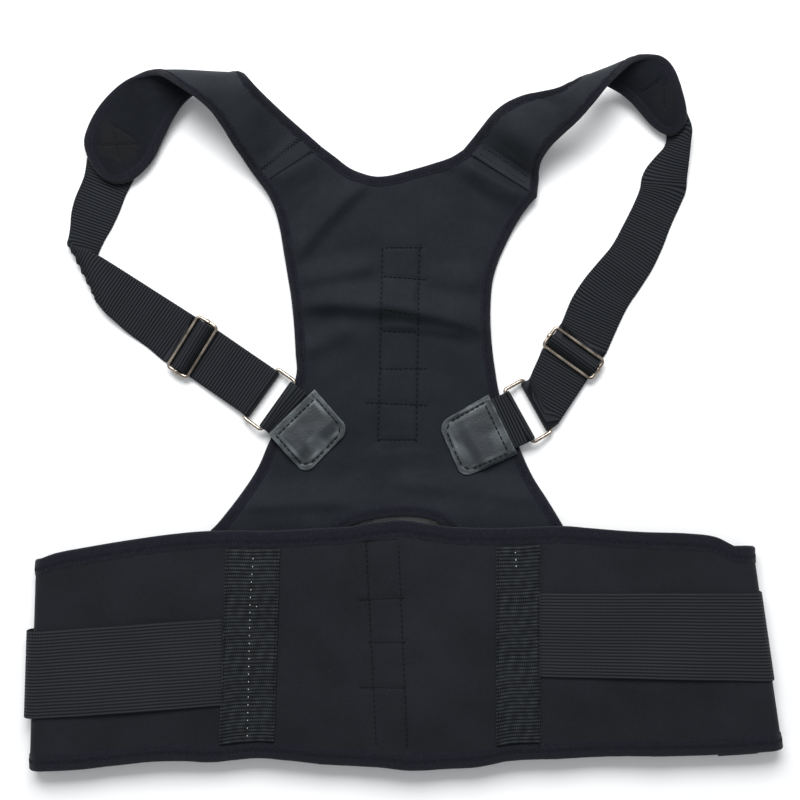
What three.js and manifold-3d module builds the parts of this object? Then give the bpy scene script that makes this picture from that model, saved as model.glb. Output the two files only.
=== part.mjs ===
// Posture corrector lying flat on a table: padded back panel, two padded shoulder straps that arch up and
// fold under themselves, adjustable webbing with sliders and rings, leather tabs and a wide waist belt that
// lies as a flattened loop. Millimetres, +Z up, table at z = 0, origin under the centre of the whole.
import * as THREE from 'three';
import Module from 'manifold-3d';
import * as BufferGeometryUtils from 'three/addons/utils/BufferGeometryUtils.js';

// ---------------------------------------------------------------- driving dimensions
const PANEL_WALL = 3.0;        // padded cloth of the back panel
const STRAP_WALL = 3.6;        // padded cloth of the shoulder straps
const BELT_WALL = 3.0;         // padded cloth of the waist belt
const BINDING_WIDTH = 7.6;     // bound edge of panel and straps
const BINDING_THICK = 4.2;
const ARCH_BINDING_WIDTH = 8.4;
const BELT_BINDING_WIDTH = 9.0;
const SKIN_GAP = 0.3;          // gap that touching pieces keep
const PANEL_REST = 0.6;        // underside of the panel cloth over the table, inside its bindings
const WEBBING_WIDTH = 37.4;
const WEBBING_THICK = 1.4;
const LOOP_THICK = 1.2;        // webbing of the short ring loops
const ELASTIC_THICK = 1.2;
const STRIP_THICK = 1.3;       // vertical webbing strips on the belt
const WIRE = 2.6;              // wire of sliders and rings
const SLIDER_LENGTH = 43.4, SLIDER_DEPTH = 18.2, SLIDER_CORNER = 2.4, SLIDER_Z = 5.2, SLIDER_BAR = 2.0;
const RING_LENGTH = 44.0, RING_PITCH = 15.5, RING_CORNER = 2.2, RING_LOW = 3.3, RING_HIGH = 7.3;
const LEATHER_THICK = 1.3, LEATHER_BASE = 4.6, LEATHER_LIFT = 2.95;
const BELT_FRONT_Z = 14.5;     // middle of the belt's upper layer
const BELT_WING_Z = 3.0;       // middle of the layer that lies on the table
const BELT_OVERLAP_Z = 7.6;    // middle of the wing that lies on the other wing
const BELT_LEFT = -257, BELT_RIGHT = 257;   // middle of the wall at the two folds, nominal
const SEAM_START = 0.07;        // rows of the strap table left free at the seam
const ELASTIC_STAND = 3.6;     // how far the left elastic stands off the belt's fold

// ---------------------------------------------------------------- tables
// left shoulder strap, a row for each section from the seam over the fold to the lobe: edge A x, y, z; edge B x, y, z; crown of the middle
const STRAP_LEFT = [
  [-56.7, 184.5, 5.5, -98.5, 157.3, 5.5, 0.3],
  [-71.8, 197.2, 9, -106.5, 168, 8, 0.8],
  [-81.7, 205.2, 14, -111.8, 176.1, 13, 1.6],
  [-90.1, 212.1, 20, -117.3, 183.3, 18.5, 2.2],
  [-95.6, 216.8, 26, -123.6, 194.3, 25, 2.4],
  [-99.5, 220.1, 30.5, -130.3, 205.6, 30, 2],
  [-103, 223.8, 32, -140.1, 212.6, 32.5, 1.4],
  [-106.4, 227.5, 29.5, -153.8, 221.4, 31, 0.8],
  [-108.9, 230.2, 25.5, -163.1, 228.9, 26.5, 0.3],
  [-111.2, 231.7, 21, -168.2, 232.7, 21, 0],
  [-115.2, 231.9, 16, -174.3, 234, 16, 0],
  [-121.9, 230.1, 12.3, -182.6, 233.5, 12.5, 0],
  [-131.9, 226.5, 10, -191, 231.3, 10.3, -0.2],
  [-144.6, 221.3, 8.6, -200, 224.7, 9, -0.5],
  [-153.1, 214.6, 7.6, -207.5, 217.3, 8, -0.9],
  [-159.5, 205.1, 6.8, -213.5, 209.8, 7.2, -1.2],
  [-165.1, 193.4, 6.1, -218.2, 202.3, 6.5, -1.2],
  [-171.2, 181.7, 5.4, -221.2, 194.2, 5.8, -1],
  [-176.5, 167.9, 4.9, -224.5, 182.5, 5.1, -0.7],
  [-181.8, 151.9, 4.5, -226.3, 167.9, 4.6, -0.3],
];
// right shoulder strap, the same columns
const STRAP_RIGHT = [
  [41.4, 182.4, 5.5, 92.9, 149.7, 5.5, 0.3],
  [47.5, 189.5, 8, 93.7, 158.5, 7, 0.8],
  [54.2, 197.4, 12, 93.3, 166.8, 11, 1.6],
  [61.4, 205.6, 17, 94.6, 174.6, 15.5, 2.2],
  [69.9, 212.3, 22, 100.2, 182.7, 20, 2.4],
  [81.8, 216.5, 26, 108.6, 189.4, 24, 2.4],
  [93.1, 217.8, 29, 118.3, 197, 28, 2],
  [102.3, 218.5, 31, 127.3, 207.2, 31, 1.4],
  [109.7, 220.7, 31, 136.5, 219.5, 33, 0.8],
  [115.6, 223.8, 28, 145.6, 229.1, 31, 0.3],
  [119.8, 226.5, 24, 152.4, 236.6, 27, 0],
  [123.5, 228.2, 20, 157.3, 241.2, 22.5, 0],
  [128.3, 228.6, 15.5, 162.7, 244.2, 19, 0],
  [135, 227.4, 12, 169.2, 246.2, 17, -0.3],
  [143, 224.9, 9.5, 176.3, 246.4, 16, -0.8],
  [151, 221.2, 7.5, 182.6, 242.4, 15.5, -1.4],
  [158.1, 215.6, 6.4, 187.5, 235.6, 15, -1.8],
  [164.5, 208.5, 5.6, 190.4, 227.5, 14.5, -1.8],
  [170.9, 200.6, 5, 192.9, 218.6, 14, -1.4],
  [177.9, 194.4, 4.7, 195.8, 210.5, 13.5, -0.9],
  [185.2, 188.1, 4.6, 199, 203, 13, -0.4],
];
// free run of the left webbing with its fold, a row for each section: edge A x, y, z; edge B x, y, z; crown of the middle
const WEB_LEFT = [
  [-223.3, 164.3, 1.3, -194, 152.5, 1.1, 0],
  [-229.4, 149.7, 0.9, -198.6, 140.6, 0.9, 0],
  [-232.1, 139.2, 1, -203.8, 129.4, 0.9, 0],
  [-232.7, 130, 1.6, -209.4, 119.6, 0.9, 0],
  [-233.5, 122.9, 2.6, -214.3, 107.8, 0.9, 0],
  [-234, 119.3, 4, -216.7, 92.3, 1.4, 0],
  [-233.8, 117.4, 5.4, -214.6, 78.9, 2.8, 0],
  [-231.8, 116.5, 6.6, -211.5, 74, 4.2, 0],
  [-226.1, 114.8, 6.8, -207.2, 68.7, 4.6, 0],
  [-214.3, 110, 5.6, -201, 63.2, 4.2, 0],
  [-199.7, 101.1, 4, -193.7, 56.6, 2.8, 0],
  [-184.7, 91.5, 2.4, -186.6, 51.1, 1.6, 0],
  [-170.2, 82.2, 1.5, -178.6, 45.2, 1.1, 0],
];
// free run of the right webbing with its twist; edge A is the inner edge
const WEB_RIGHT = [
  [182, 184.9, 1.8, 199.8, 196.9, 9.5, 0],
  [175.8, 178, 1.3, 199.4, 187.5, 8, 0],
  [169.9, 170.7, 1, 198.5, 175.3, 6, 0],
  [166.7, 163.7, 1.2, 197.6, 164.6, 3.8, 0],
  [165.3, 155.9, 1.6, 197, 154.5, 1.8, 0],
  [161.2, 145.5, 1, 193.3, 144.8, 1, 0],
  [153.5, 130.1, 0.9, 186.7, 130.1, 0.9, 0],
  [145.8, 116.2, 0.9, 180.8, 114.8, 0.9, 0],
  [135.3, 103.6, 0.9, 173.8, 100.1, 0.9, 0],
  [126.2, 92.4, 0.9, 165.4, 86.8, 0.9, 0],
  [117.8, 79.1, 1, 154.9, 70.7, 1, 0],
];
// webbing under the strap's lobe: row of the strap, place of its two edges across the strap
const UNDER_LEFT = [[15.4, 0.93, 0.2], [16.4, 0.93, 0.2], [17.4, 0.92, 0.19], [18.3, 0.91, 0.18]];
const UNDER_RIGHT = [[16.6, 0.08, 0.92], [17.6, 0.08, 0.92], [18.6, 0.08, 0.92], [19.5, 0.06, 0.92]];
// left side of the panel from under the belt up to the seam: x, y
const SIDE_LEFT = [
  [-138.5, -89],
  [-134.3, -82.6],
  [-127.3, -75.3],
  [-114.1, -58.2],
  [-102.2, -39.7],
  [-94.2, -21.5],
  [-83.4, 2.9],
  [-75.1, 25.2],
  [-75.4, 41.3],
  [-76.7, 62.9],
  [-78.5, 80.3],
  [-80.6, 92.9],
  [-83.4, 110.3],
  [-86.2, 127.1],
  [-89.7, 141],
  [-94.5, 151.5],
  [-98.5, 157.3],
];
// right side of the panel: x, y
const SIDE_RIGHT = [
  [115.5, -89],
  [110.9, -79.4],
  [100.5, -61.7],
  [90, -44.6],
  [82, -27.1],
  [74.3, -7.6],
  [67.3, 11.3],
  [63.8, 30.8],
  [61.7, 47.5],
  [60.7, 62.9],
  [61, 77.5],
  [62.4, 91.8],
  [66.6, 106.1],
  [74.3, 122.9],
  [80.9, 134.7],
  [87.5, 143.8],
  [92.9, 149.7],
];
// neckline from the left seam to the right seam: x, y
const NECKLINE = [
  [-56.7, 184.5],
  [-47.7, 177.8],
  [-38, 170.5],
  [-28.9, 166.7],
  [-19.2, 164.6],
  [-8.7, 165.5],
  [3.8, 168.7],
  [19.2, 172.9],
  [32.4, 177.1],
  [41.4, 182.4],
];
// edge of the arched cut-out at the panel's foot: x, y
const ARCH_EDGE = [
  [-50.9, -89],
  [-37.8, -79.8],
  [-21.1, -74.6],
  [-1.1, -72.5],
  [17.6, -74.3],
  [27.3, -79.5],
  [41.2, -89],
];
// wrinkles of the panel: start x, y; end x, y; height; half width
const PANEL_WRINKLES = [
  [-66, 71, 50, 57, 4.2, 7],
  [-74, 92, -40, 93, 1.6, 8],
  [-70, 46, -30, 42, 1.4, 8],
  [-28, 152, -66, 104, 2.2, 10],
  [44, 150, 70, 122, 1.6, 9],
];
// top edge of the belt: x, y
const BELT_TOP = [
  [-255.2, -101],
  [-243.5, -96.9],
  [-225.3, -93.5],
  [-185.7, -87.3],
  [-146.4, -82.5],
  [-119.5, -81.4],
  [-92.7, -81.6],
  [-54.8, -79.7],
  [-39, -79],
  [-21.7, -76],
  [-1.1, -74.2],
  [18.2, -76.9],
  [33.4, -79],
  [66.4, -79.7],
  [109.8, -78.3],
  [128.4, -79.7],
  [162.8, -82.2],
  [204.2, -83.5],
  [228.3, -85.9],
  [243.4, -92.1],
];
// bottom edge of the belt: x, y
const BELT_BOTTOM = [
  [-257.3, -247.7],
  [-225.3, -246.4],
  [-198.7, -243.6],
  [-174.6, -240.9],
  [-152.6, -240.4],
  [-133.3, -241.5],
  [-113.3, -239.5],
  [-97.5, -238.5],
  [-78.9, -240],
  [-52.7, -242.9],
  [-16.2, -244.6],
  [4.4, -246.7],
  [32.7, -245.7],
  [52.6, -244.3],
  [73.3, -240.2],
  [107.7, -238.8],
  [149.1, -237.1],
  [196.6, -236.7],
  [231.7, -235],
  [261.3, -232.6],
];
// outer x of the belt's folds at the bottom edge and at the top edge
const FOLD_LEFT = [-258.6, -254.4], FOLD_RIGHT = [262.7, 243.0];
// edges of the elastics as straight lines: x, y of both ends
const ELASTIC_LEFT_TOP = [[-259.4, -150.9], [-124.7, -141.6]], ELASTIC_LEFT_BOTTOM = [[-262.1, -211.3], [-124.7, -201.4]];
const ELASTIC_RIGHT_TOP = [[93.7, -124.1], [245.1, -124.1]], ELASTIC_RIGHT_BOTTOM = [[93.7, -181.6], [254.8, -185]];
// corners of the strips: outer top, outer bottom, inner top, inner bottom
const STRIP_LEFT = [[-121.9, -92.5], [-126.8, -228.5], [-84.9, -92.5], [-89, -228.5]], STRIP_RIGHT = [[63.8, -89.7], [63.8, -229.2], [93.7, -89.7], [93.7, -229.2]];
// corners of the leather tabs: ring side top, ring side bottom, far bottom, far top
const TAB_LEFT = [[-61.8, 15.9], [-93.7, -15.1], [-68.4, -43.9], [-37.1, -12.4]], TAB_RIGHT = [[59, 12.3], [79.1, -29], [40.6, -46.3], [23.9, -7.8]];
const CLOSURE_PAD = { x0: 218.8, x1: 246, below: 3.2, top: -170, z: 5.7, thick: 1.5 };
// hardware: x, y of the centre, direction of travel towards the tab and direction along the bars, degrees
const HARDWARE = {
  slider_left: [-147.0, 45.4, -31.7, 58.3],
  ring_left: [-93.3, 8.9, -35.5, 54.5],
  slider_right: [118.3, 41.1, -125.5, 144.5],
  ring_right: [86.6, 0.8, -151, 119],
};
// threading of a webbing: frame, distance along the travel from its bar, height of the middle
const THREADING = [
  ['slider', -14, 1.0], ['slider', -10.5, 1.2], ['slider', -7.9, 1.9], ['slider', -5.7, 3.3], ['slider', -4.2, 5.6],
  ['slider', -2.7, 7.85], ['slider', 0, 9.0], ['slider', 2.7, 7.85], ['slider', 4.2, 5.7], ['slider', 5.6, 3.8],
  ['slider', 7.9, 2.8], ['slider', 11, 2.7], ['slider', 16, 2.7], ['ring', -9, 3.0], ['ring', -4.5, 4.4],
  ['ring', -1.6, 5.5], ['ring', 0, 5.65], ['ring', 1.66, 4.96], ['ring', 2.35, 3.3], ['ring', 1.66, 1.64],
  ['ring', 0, 0.95], ['ring', -4, 0.9], ['ring', -9, 0.9], ['slider', 16, 0.9], ['slider', 9, 0.9],
  ['slider', 5.0, 0.95], ['slider', 2.6, 1.7], ['slider', 0.9, 2.95], ['slider', -0.9, 3.35], ['slider', -2.05, 4.7],
  ['slider', -1.7, 6.4], ['slider', -0.2, 7.25], ['slider', 1.2, 6.95],
];
// loop between ring and tab: frame, distance away from the ring's bar or from the tab's edge, height of the middle
const LOOP_PATH = [
  ['tab', 19, 5.2], ['tab', 10, 5.2], ['tab', 1, 5.2], ['bar', 3.5, 5.1], ['bar', 0, 5.05], ['bar', -1.6, 5.7],
  ['bar', -2.25, 7.3], ['bar', -1.6, 8.9], ['bar', 0, 9.55], ['bar', 2.6, 9.0], ['tab', -1.5, 7.0], ['tab', 1.5, 6.65],
  ['tab', 10, 6.6], ['tab', 19, 6.6],
];

// ---------------------------------------------------------------- small maths
const v = (x, y, z = 0) => new THREE.Vector3(x, y, z);
const clamp = (x, a, b) => Math.min(b, Math.max(a, x));
const smooth = (x) => { const t = clamp(x, 0, 1); return t * t * (3 - 2 * t); };
const mix = (a, b, t) => a + (b - a) * t;
const rad = (d) => d * Math.PI / 180;

// Catmull-Rom through the rows of a table; s counts rows
function along(rows, s) {
  const n = rows.length;
  const i = clamp(Math.floor(s), 0, n - 2), f = clamp(s, 0, n - 1) - i;
  const p1 = rows[i], p2 = rows[i + 1];
  const p0 = i > 0 ? rows[i - 1] : p1.map((q, k) => 2 * q - p2[k]);
  const p3 = i < n - 2 ? rows[i + 2] : p2.map((q, k) => 2 * q - p1[k]);
  return p1.map((q, k) => 0.5 * (2 * q + (p2[k] - p0[k]) * f
    + (2 * p0[k] - 5 * q + 4 * p2[k] - p3[k]) * f * f
    + (3 * q - p0[k] - 3 * p2[k] + p3[k]) * f * f * f));
}
// y of a table of x, y rows at a given x
function heightAt(rows, x) {
  if (x <= rows[0][0]) return rows[0][1];
  for (let i = 0; i < rows.length - 1; i++) {
    const [x0, y0] = rows[i], [x1, y1] = rows[i + 1];
    if (x <= x1) {
      const xm = i > 0 ? rows[i - 1] : rows[i], xp = i < rows.length - 2 ? rows[i + 2] : rows[i + 1];
      const m0 = (y1 - xm[1]) / (x1 - xm[0]), m1 = (xp[1] - y0) / (xp[0] - x0);
      const h = x1 - x0, t = (x - x0) / h;
      return (1 + 2 * t) * (1 - t) ** 2 * y0 + t * (1 - t) ** 2 * h * m0
        + t * t * (3 - 2 * t) * y1 + t * t * (t - 1) * h * m1;
    }
  }
  return rows[rows.length - 1][1];
}
const span = (a, b, n) => Array.from({ length: n + 1 }, (_, i) => mix(a, b, i / n));

// ---------------------------------------------------------------- closed bodies
// A body between two copies of one grid of points: rows of places, each mapped to a point at n0 and at n1
function slab(map, places, n0, n1) {
  const R = places.length, C = places[0].length, pts = [];
  for (const n of [n1, n0]) for (const row of places) for (const [a, b] of row) pts.push(map(a, b, n));
  const id = (layer, i, j) => layer * R * C + i * C + j, tri = [];
  const quad = (a, b, c, d) => {                 // split along the shorter diagonal
    if (pts[a].distanceTo(pts[c]) <= pts[b].distanceTo(pts[d])) tri.push(a, b, c, a, c, d);
    else tri.push(a, b, d, b, c, d);
  };
  for (let i = 0; i < R - 1; i++) for (let j = 0; j < C - 1; j++) {
    quad(id(0, i, j), id(0, i + 1, j), id(0, i + 1, j + 1), id(0, i, j + 1));
    quad(id(1, i, j), id(1, i, j + 1), id(1, i + 1, j + 1), id(1, i + 1, j));
  }
  for (let i = 0; i < R - 1; i++) {
    quad(id(0, i, 0), id(1, i, 0), id(1, i + 1, 0), id(0, i + 1, 0));
    quad(id(0, i, C - 1), id(0, i + 1, C - 1), id(1, i + 1, C - 1), id(1, i, C - 1));
  }
  for (let j = 0; j < C - 1; j++) {
    quad(id(0, 0, j), id(0, 0, j + 1), id(1, 0, j + 1), id(1, 0, j));
    quad(id(0, R - 1, j), id(1, R - 1, j), id(1, R - 1, j + 1), id(0, R - 1, j + 1));
  }
  return body(pts, tri);
}
// Faces turned outward by the sign of the enclosed volume
function body(pts, tri) {
  let vol = 0;
  for (let k = 0; k < tri.length; k += 3) {
    const [a, b, c] = [pts[tri[k]], pts[tri[k + 1]], pts[tri[k + 2]]];
    vol += a.dot(b.clone().cross(c)) / 6;
  }
  if (vol < 0) for (let k = 0; k < tri.length; k += 3) [tri[k + 1], tri[k + 2]] = [tri[k + 2], tri[k + 1]];
  const g = new THREE.BufferGeometry();
  g.setAttribute('position', new THREE.Float32BufferAttribute(pts.flatMap((p) => [p.x, p.y, p.z]), 3));
  g.setIndex(tri);
  g.computeVertexNormals();
  return g;
}
// Wire bent into a closed outline: a round section carried along closed points that lie in one plane
function closedWire(points, up, radius, sides = 8) {
  const N = points.length, pts = [], tri = [];
  for (let i = 0; i < N; i++) {
    const dir = points[(i + 1) % N].clone().sub(points[(i + N - 1) % N]).normalize();
    const out = dir.clone().cross(up).normalize();
    for (let k = 0; k < sides; k++) {
      const a = 2 * Math.PI * (k + 0.5) / sides;
      pts.push(points[i].clone().addScaledVector(out, radius * Math.cos(a)).addScaledVector(up, radius * Math.sin(a)));
    }
  }
  for (let i = 0; i < N; i++) for (let k = 0; k < sides; k++) {
    const a = i * sides + k, b = i * sides + (k + 1) % sides;
    const c = ((i + 1) % N) * sides + (k + 1) % sides, d = ((i + 1) % N) * sides + k;
    tri.push(a, b, c, a, c, d);
  }
  return body(pts, tri);
}
// Rounded rectangle in the plane of unit vectors e (length) and f (depth)
function roundedOutline(centre, e, f, length, depth, corner, steps = 3) {
  const out = [];
  [[1, 1, 0], [-1, 1, 90], [-1, -1, 180], [1, -1, 270]].forEach(([a, b, start]) => {
    for (let k = 0; k <= steps; k++) {
      const w = rad(start + 90 * k / steps);
      out.push(centre.clone()
        .addScaledVector(e, a * (length / 2 - corner) + corner * Math.cos(w))
        .addScaledVector(f, b * (depth / 2 - corner) + corner * Math.sin(w)));
    }
  });
  return out;
}

const wasm = await Module();
wasm.setup();
function toSolid(geometry) {
  let g = geometry.clone();
  for (const name of Object.keys(g.attributes)) if (name !== 'position') g.deleteAttribute(name);
  g = BufferGeometryUtils.mergeVertices(g, 1e-4);
  return new wasm.Manifold(new wasm.Mesh({
    numProp: 3, vertProperties: new Float32Array(g.attributes.position.array), triVerts: new Uint32Array(g.index.array),
  }));
}
function fromSolid(solid) {
  const m = solid.getMesh(), g = new THREE.BufferGeometry();
  g.setAttribute('position', new THREE.Float32BufferAttribute(m.vertProperties, 3));
  g.setIndex([...m.triVerts]);
  g.computeVertexNormals();
  return g;
}

// ---------------------------------------------------------------- group and materials
const group = new THREE.Group();
const LOOK = {
  padded: [0x282b30, 0.85, 0], binding: [0x1b1e29, 0.9, 0], webbing: [0x232628, 0.75, 0],
  elastic: [0x2a2c2d, 0.8, 0], leather: [0x464c50, 0.45, 0], metal: [0xc3b9af, 0.3, 1],
};
function add(name, geometry, look) {
  const [color, roughness, metalness] = LOOK[look];
  const mesh = new THREE.Mesh(geometry, new THREE.MeshStandardMaterial({ color, roughness, metalness }));
  mesh.name = name;
  group.add(mesh);
}

// ---------------------------------------------------------------- back panel
// Underside height of the panel cloth: flat on the table, raised at the shoulder seams, where it climbs
// under the belt, and along its wrinkles
function distanceToLine(x, y, [ax, ay], [bx, by]) {
  const dx = bx - ax, dy = by - ay, t = clamp(((x - ax) * dx + (y - ay) * dy) / (dx * dx + dy * dy), 0, 1);
  return [Math.hypot(x - ax - t * dx, y - ay - t * dy), t];
}
function panelHeight(x, y) {
  let h = PANEL_REST + 7.8 * smooth((-38 - y) / 40);
  for (const strap of [STRAP_LEFT, STRAP_RIGHT]) {
    const [d] = distanceToLine(x, y, [strap[0][0], strap[0][1]], [strap[0][3], strap[0][4]]);
    h += 3.4 * (1 - smooth(d / 40));
  }
  for (const [ax, ay, bx, by, height, width] of PANEL_WRINKLES) {
    const [d, t] = distanceToLine(x, y, [ax, ay], [bx, by]);
    h += height * Math.exp(-((d / width) ** 2)) * (0.35 + 0.65 * Math.sin(Math.PI * clamp(t, 0.02, 0.98)));
  }
  return h;
}
const onPanel = (x, y, n) => v(x, y, panelHeight(x, y) + n);

// Edge strip: the outer line of a table and a line inset by a width; the ends are cut along given directions
function inset(rows, s, width, side, startDir, endDir) {
  const p = along(rows, s), a = along(rows, Math.max(0, s - 0.05)), b = along(rows, Math.min(rows.length - 1, s + 0.05));
  const t = v(b[0] - a[0], b[1] - a[1]).normalize();
  const n = v(-t.y * side, t.x * side);
  const k0 = 1 - smooth(s / 1.2), k1 = 1 - smooth((rows.length - 1 - s) / 1.2);
  if (startDir) n.multiplyScalar(1 - k0).addScaledVector(startDir, k0);
  if (endDir) n.multiplyScalar(1 - k1).addScaledVector(endDir, k1);
  n.normalize();
  return [p[0] + n.x * width, p[1] + n.y * width];
}
const seamDir = (strap, fromB) => {           // unit vector across the seam, from edge B or from edge A
  const a = v(strap[0][0], strap[0][1]), b = v(strap[0][3], strap[0][4]);
  return (fromB ? a.sub(b) : b.sub(a)).normalize();
};
const edges = {
  left: [SIDE_LEFT, -1, v(1, 0), seamDir(STRAP_LEFT, true)],
  right: [SIDE_RIGHT, 1, v(-1, 0), seamDir(STRAP_RIGHT, true)],
  neck: [NECKLINE, -1, seamDir(STRAP_LEFT, false), seamDir(STRAP_RIGHT, false)],
  arch: [ARCH_EDGE, 1, v(-1, 0), v(1, 0)],
};
const insetOf = (key, s, width) => { const [rows, side, d0, d1] = edges[key]; return inset(rows, s, width, side, d0, d1); };
const edgeStrip = (key, width, steps) => {
  const rows = edges[key][0];
  return span(0, rows.length - 1, steps).map((s) => [along(rows, s), insetOf(key, s, width)]);
};
{
  const inner = BINDING_WIDTH + SKIN_GAP, archInner = ARCH_BINDING_WIDTH + SKIN_GAP;
  const COLS = 22, ROWS = 22, CUT_A = 5, CUT_B = 17;
  const sideCurve = (key, t) => insetOf(key, t * (edges[key][0].length - 1), inner);
  const lerp2 = (p, q, t) => [mix(p[0], q[0], t), mix(p[1], q[1], t)];
  const top = (j) => {
    const n = NECKLINE.length - 1;
    if (j <= CUT_A) return lerp2(sideCurve('left', 1), insetOf('neck', 0, inner), j / CUT_A);
    if (j <= CUT_B) return insetOf('neck', n * (j - CUT_A) / (CUT_B - CUT_A), inner);
    return lerp2(insetOf('neck', n, inner), sideCurve('right', 1), (j - CUT_B) / (COLS - CUT_B));
  };
  const bottom = (j) => {
    const n = ARCH_EDGE.length - 1;
    if (j <= CUT_A) return lerp2(sideCurve('left', 0), insetOf('arch', 0, archInner), j / CUT_A);
    if (j <= CUT_B) return insetOf('arch', n * (j - CUT_A) / (CUT_B - CUT_A), archInner);
    return lerp2(insetOf('arch', n, archInner), sideCurve('right', 0), (j - CUT_B) / (COLS - CUT_B));
  };
  const T0 = top(0), T1 = top(COLS), B0 = bottom(0), B1 = bottom(COLS), places = [];
  for (let i = 0; i <= ROWS; i++) {
    const t = i / ROWS, L = sideCurve('left', t), Rr = sideCurve('right', t), row = [];
    for (let j = 0; j <= COLS; j++) {
      const s = j / COLS, A = bottom(j), B = top(j);
      row.push([0, 1].map((k) => (1 - t) * A[k] + t * B[k] + (1 - s) * L[k] + s * Rr[k]
        - (1 - s) * (1 - t) * B0[k] - s * (1 - t) * B1[k] - (1 - s) * t * T0[k] - s * t * T1[k]));
    }
    places.push(row);
  }
  add('back_panel', slab(onPanel, places, 0, PANEL_WALL), 'padded');
  const lift = (BINDING_THICK - PANEL_WALL) / 2;
  for (const [name, key, width, steps] of [['panel_binding_left', 'left', BINDING_WIDTH, ROWS],
    ['panel_binding_right', 'right', BINDING_WIDTH, ROWS], ['neck_binding', 'neck', BINDING_WIDTH, CUT_B - CUT_A],
    ['arch_binding', 'arch', ARCH_BINDING_WIDTH, CUT_B - CUT_A]]) {
    add(name, slab(onPanel, edgeStrip(key, width, steps), -lift, PANEL_WALL + lift), 'binding');
  }
}

// ---------------------------------------------------------------- bands given by two edges
// s counts the rows, t runs from edge A to edge B, n is the distance from the middle of the wall
function bandMap(rows, up) {
  const flat = (s, t) => {
    const r = along(rows, s), a = v(r[0], r[1], r[2]), b = v(r[3], r[4], r[5]);
    return [a.lerp(b, t), r[6] || 0];
  };
  const frame = (point, s, t) => {
    const e = 0.02, last = rows.length - 1;
    const s0 = Math.max(0, s - e), s1 = Math.min(last, s + e), t0 = Math.max(0, t - e), t1 = Math.min(1, t + e);
    const ds = point(s1, t).sub(point(s0, t)), dt = point(s, t1).sub(point(s, t0));
    return ds.cross(dt).normalize().multiplyScalar(up);
  };
  const bare = (s, t) => flat(s, t)[0];
  const crowned = (s, t) => {
    const [p, crown] = flat(s, t);
    return crown ? p.addScaledVector(frame(bare, s, t), crown * 4 * t * (1 - t)) : p;
  };
  return (s, t, n) => crowned(s, t).addScaledVector(frame(crowned, s, t), n);
}
const widthAt = (rows, s) => { const r = along(rows, s); return Math.hypot(r[0] - r[3], r[1] - r[4], r[2] - r[5]); };

// ---------------------------------------------------------------- shoulder straps
// The padded strap runs from its seam up over the fold and ends in a rounded lobe
function shoulderStrap(side, rows, up, capStart, capPower) {
  const map = bandMap(rows, up), last = rows.length - 1, first = SEAM_START;
  const mid = (s) => { const r = along(rows, s); return v((r[0] + r[3]) / 2, (r[1] + r[4]) / 2, (r[2] + r[5]) / 2); };
  const capLength = mid(capStart).distanceTo(mid(last));
  const capOutline = (angle, cut) => {         // cut: distance inside the outer outline
    const w = widthAt(rows, capStart), c = Math.cos(angle), q = Math.sin(angle), p = 2 / capPower;
    const s = capStart + (last - capStart) * (1 - cut / capLength) * Math.abs(c) ** p;
    const half = 0.5 - cut / w;
    return [s, 0.5 + half * Math.sign(q) * Math.abs(q) ** p];
  };
  const inner = BINDING_WIDTH + 1.5 * SKIN_GAP;
  const places = [];
  for (const s of span(first, capStart, 30)) {
    const k = inner / widthAt(rows, s);
    places.push(span(k, 1 - k, 4).map((t) => [s, t]));
  }
  for (const angle of [68, 50, 34, 20, 9].map(rad)) {
    const [s, hi] = capOutline(angle, inner);
    places.push(span(1 - hi, hi, 4).map((t) => [s, t]));
  }
  add(`shoulder_strap_${side}`, slab(map, places, -STRAP_WALL / 2, STRAP_WALL / 2), 'padded');
  const strip = [];
  const edge = (s, far) => {
    const k = BINDING_WIDTH / widthAt(rows, s);
    return far ? [[s, 1], [s, 1 - k]] : [[s, 0], [s, k]];
  };
  for (const s of span(first, capStart, 30)) strip.push(edge(s, false));
  for (const angle of [-72, -54, -36, -18, 0, 18, 36, 54, 72].map(rad)) {
    strip.push([capOutline(angle, 0), capOutline(angle, BINDING_WIDTH)]);
  }
  for (const s of span(capStart, first, 30)) strip.push(edge(s, true));
  add(`strap_binding_${side}`, slab(map, strip, -BINDING_THICK / 2, BINDING_THICK / 2), 'binding');
  return map;
}
const strapLeft = shoulderStrap('left', STRAP_LEFT, 1, 17, 2);
const strapRight = shoulderStrap('right', STRAP_RIGHT, -1, 17.6, 3);

// ---------------------------------------------------------------- hardware frames
// Each frame: centre, unit vector of travel, unit vector along the bars
const dirOf = (deg) => v(Math.cos(rad(deg)), Math.sin(rad(deg)));
function frameOf(row) {
  const [x, y, travel, bar] = row;
  return { c: v(x, y), d: dirOf(travel), e: dirOf(bar) };
}
const HW = Object.fromEntries(Object.entries(HARDWARE).map(([k, row]) => [k, frameOf(row)]));
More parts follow.
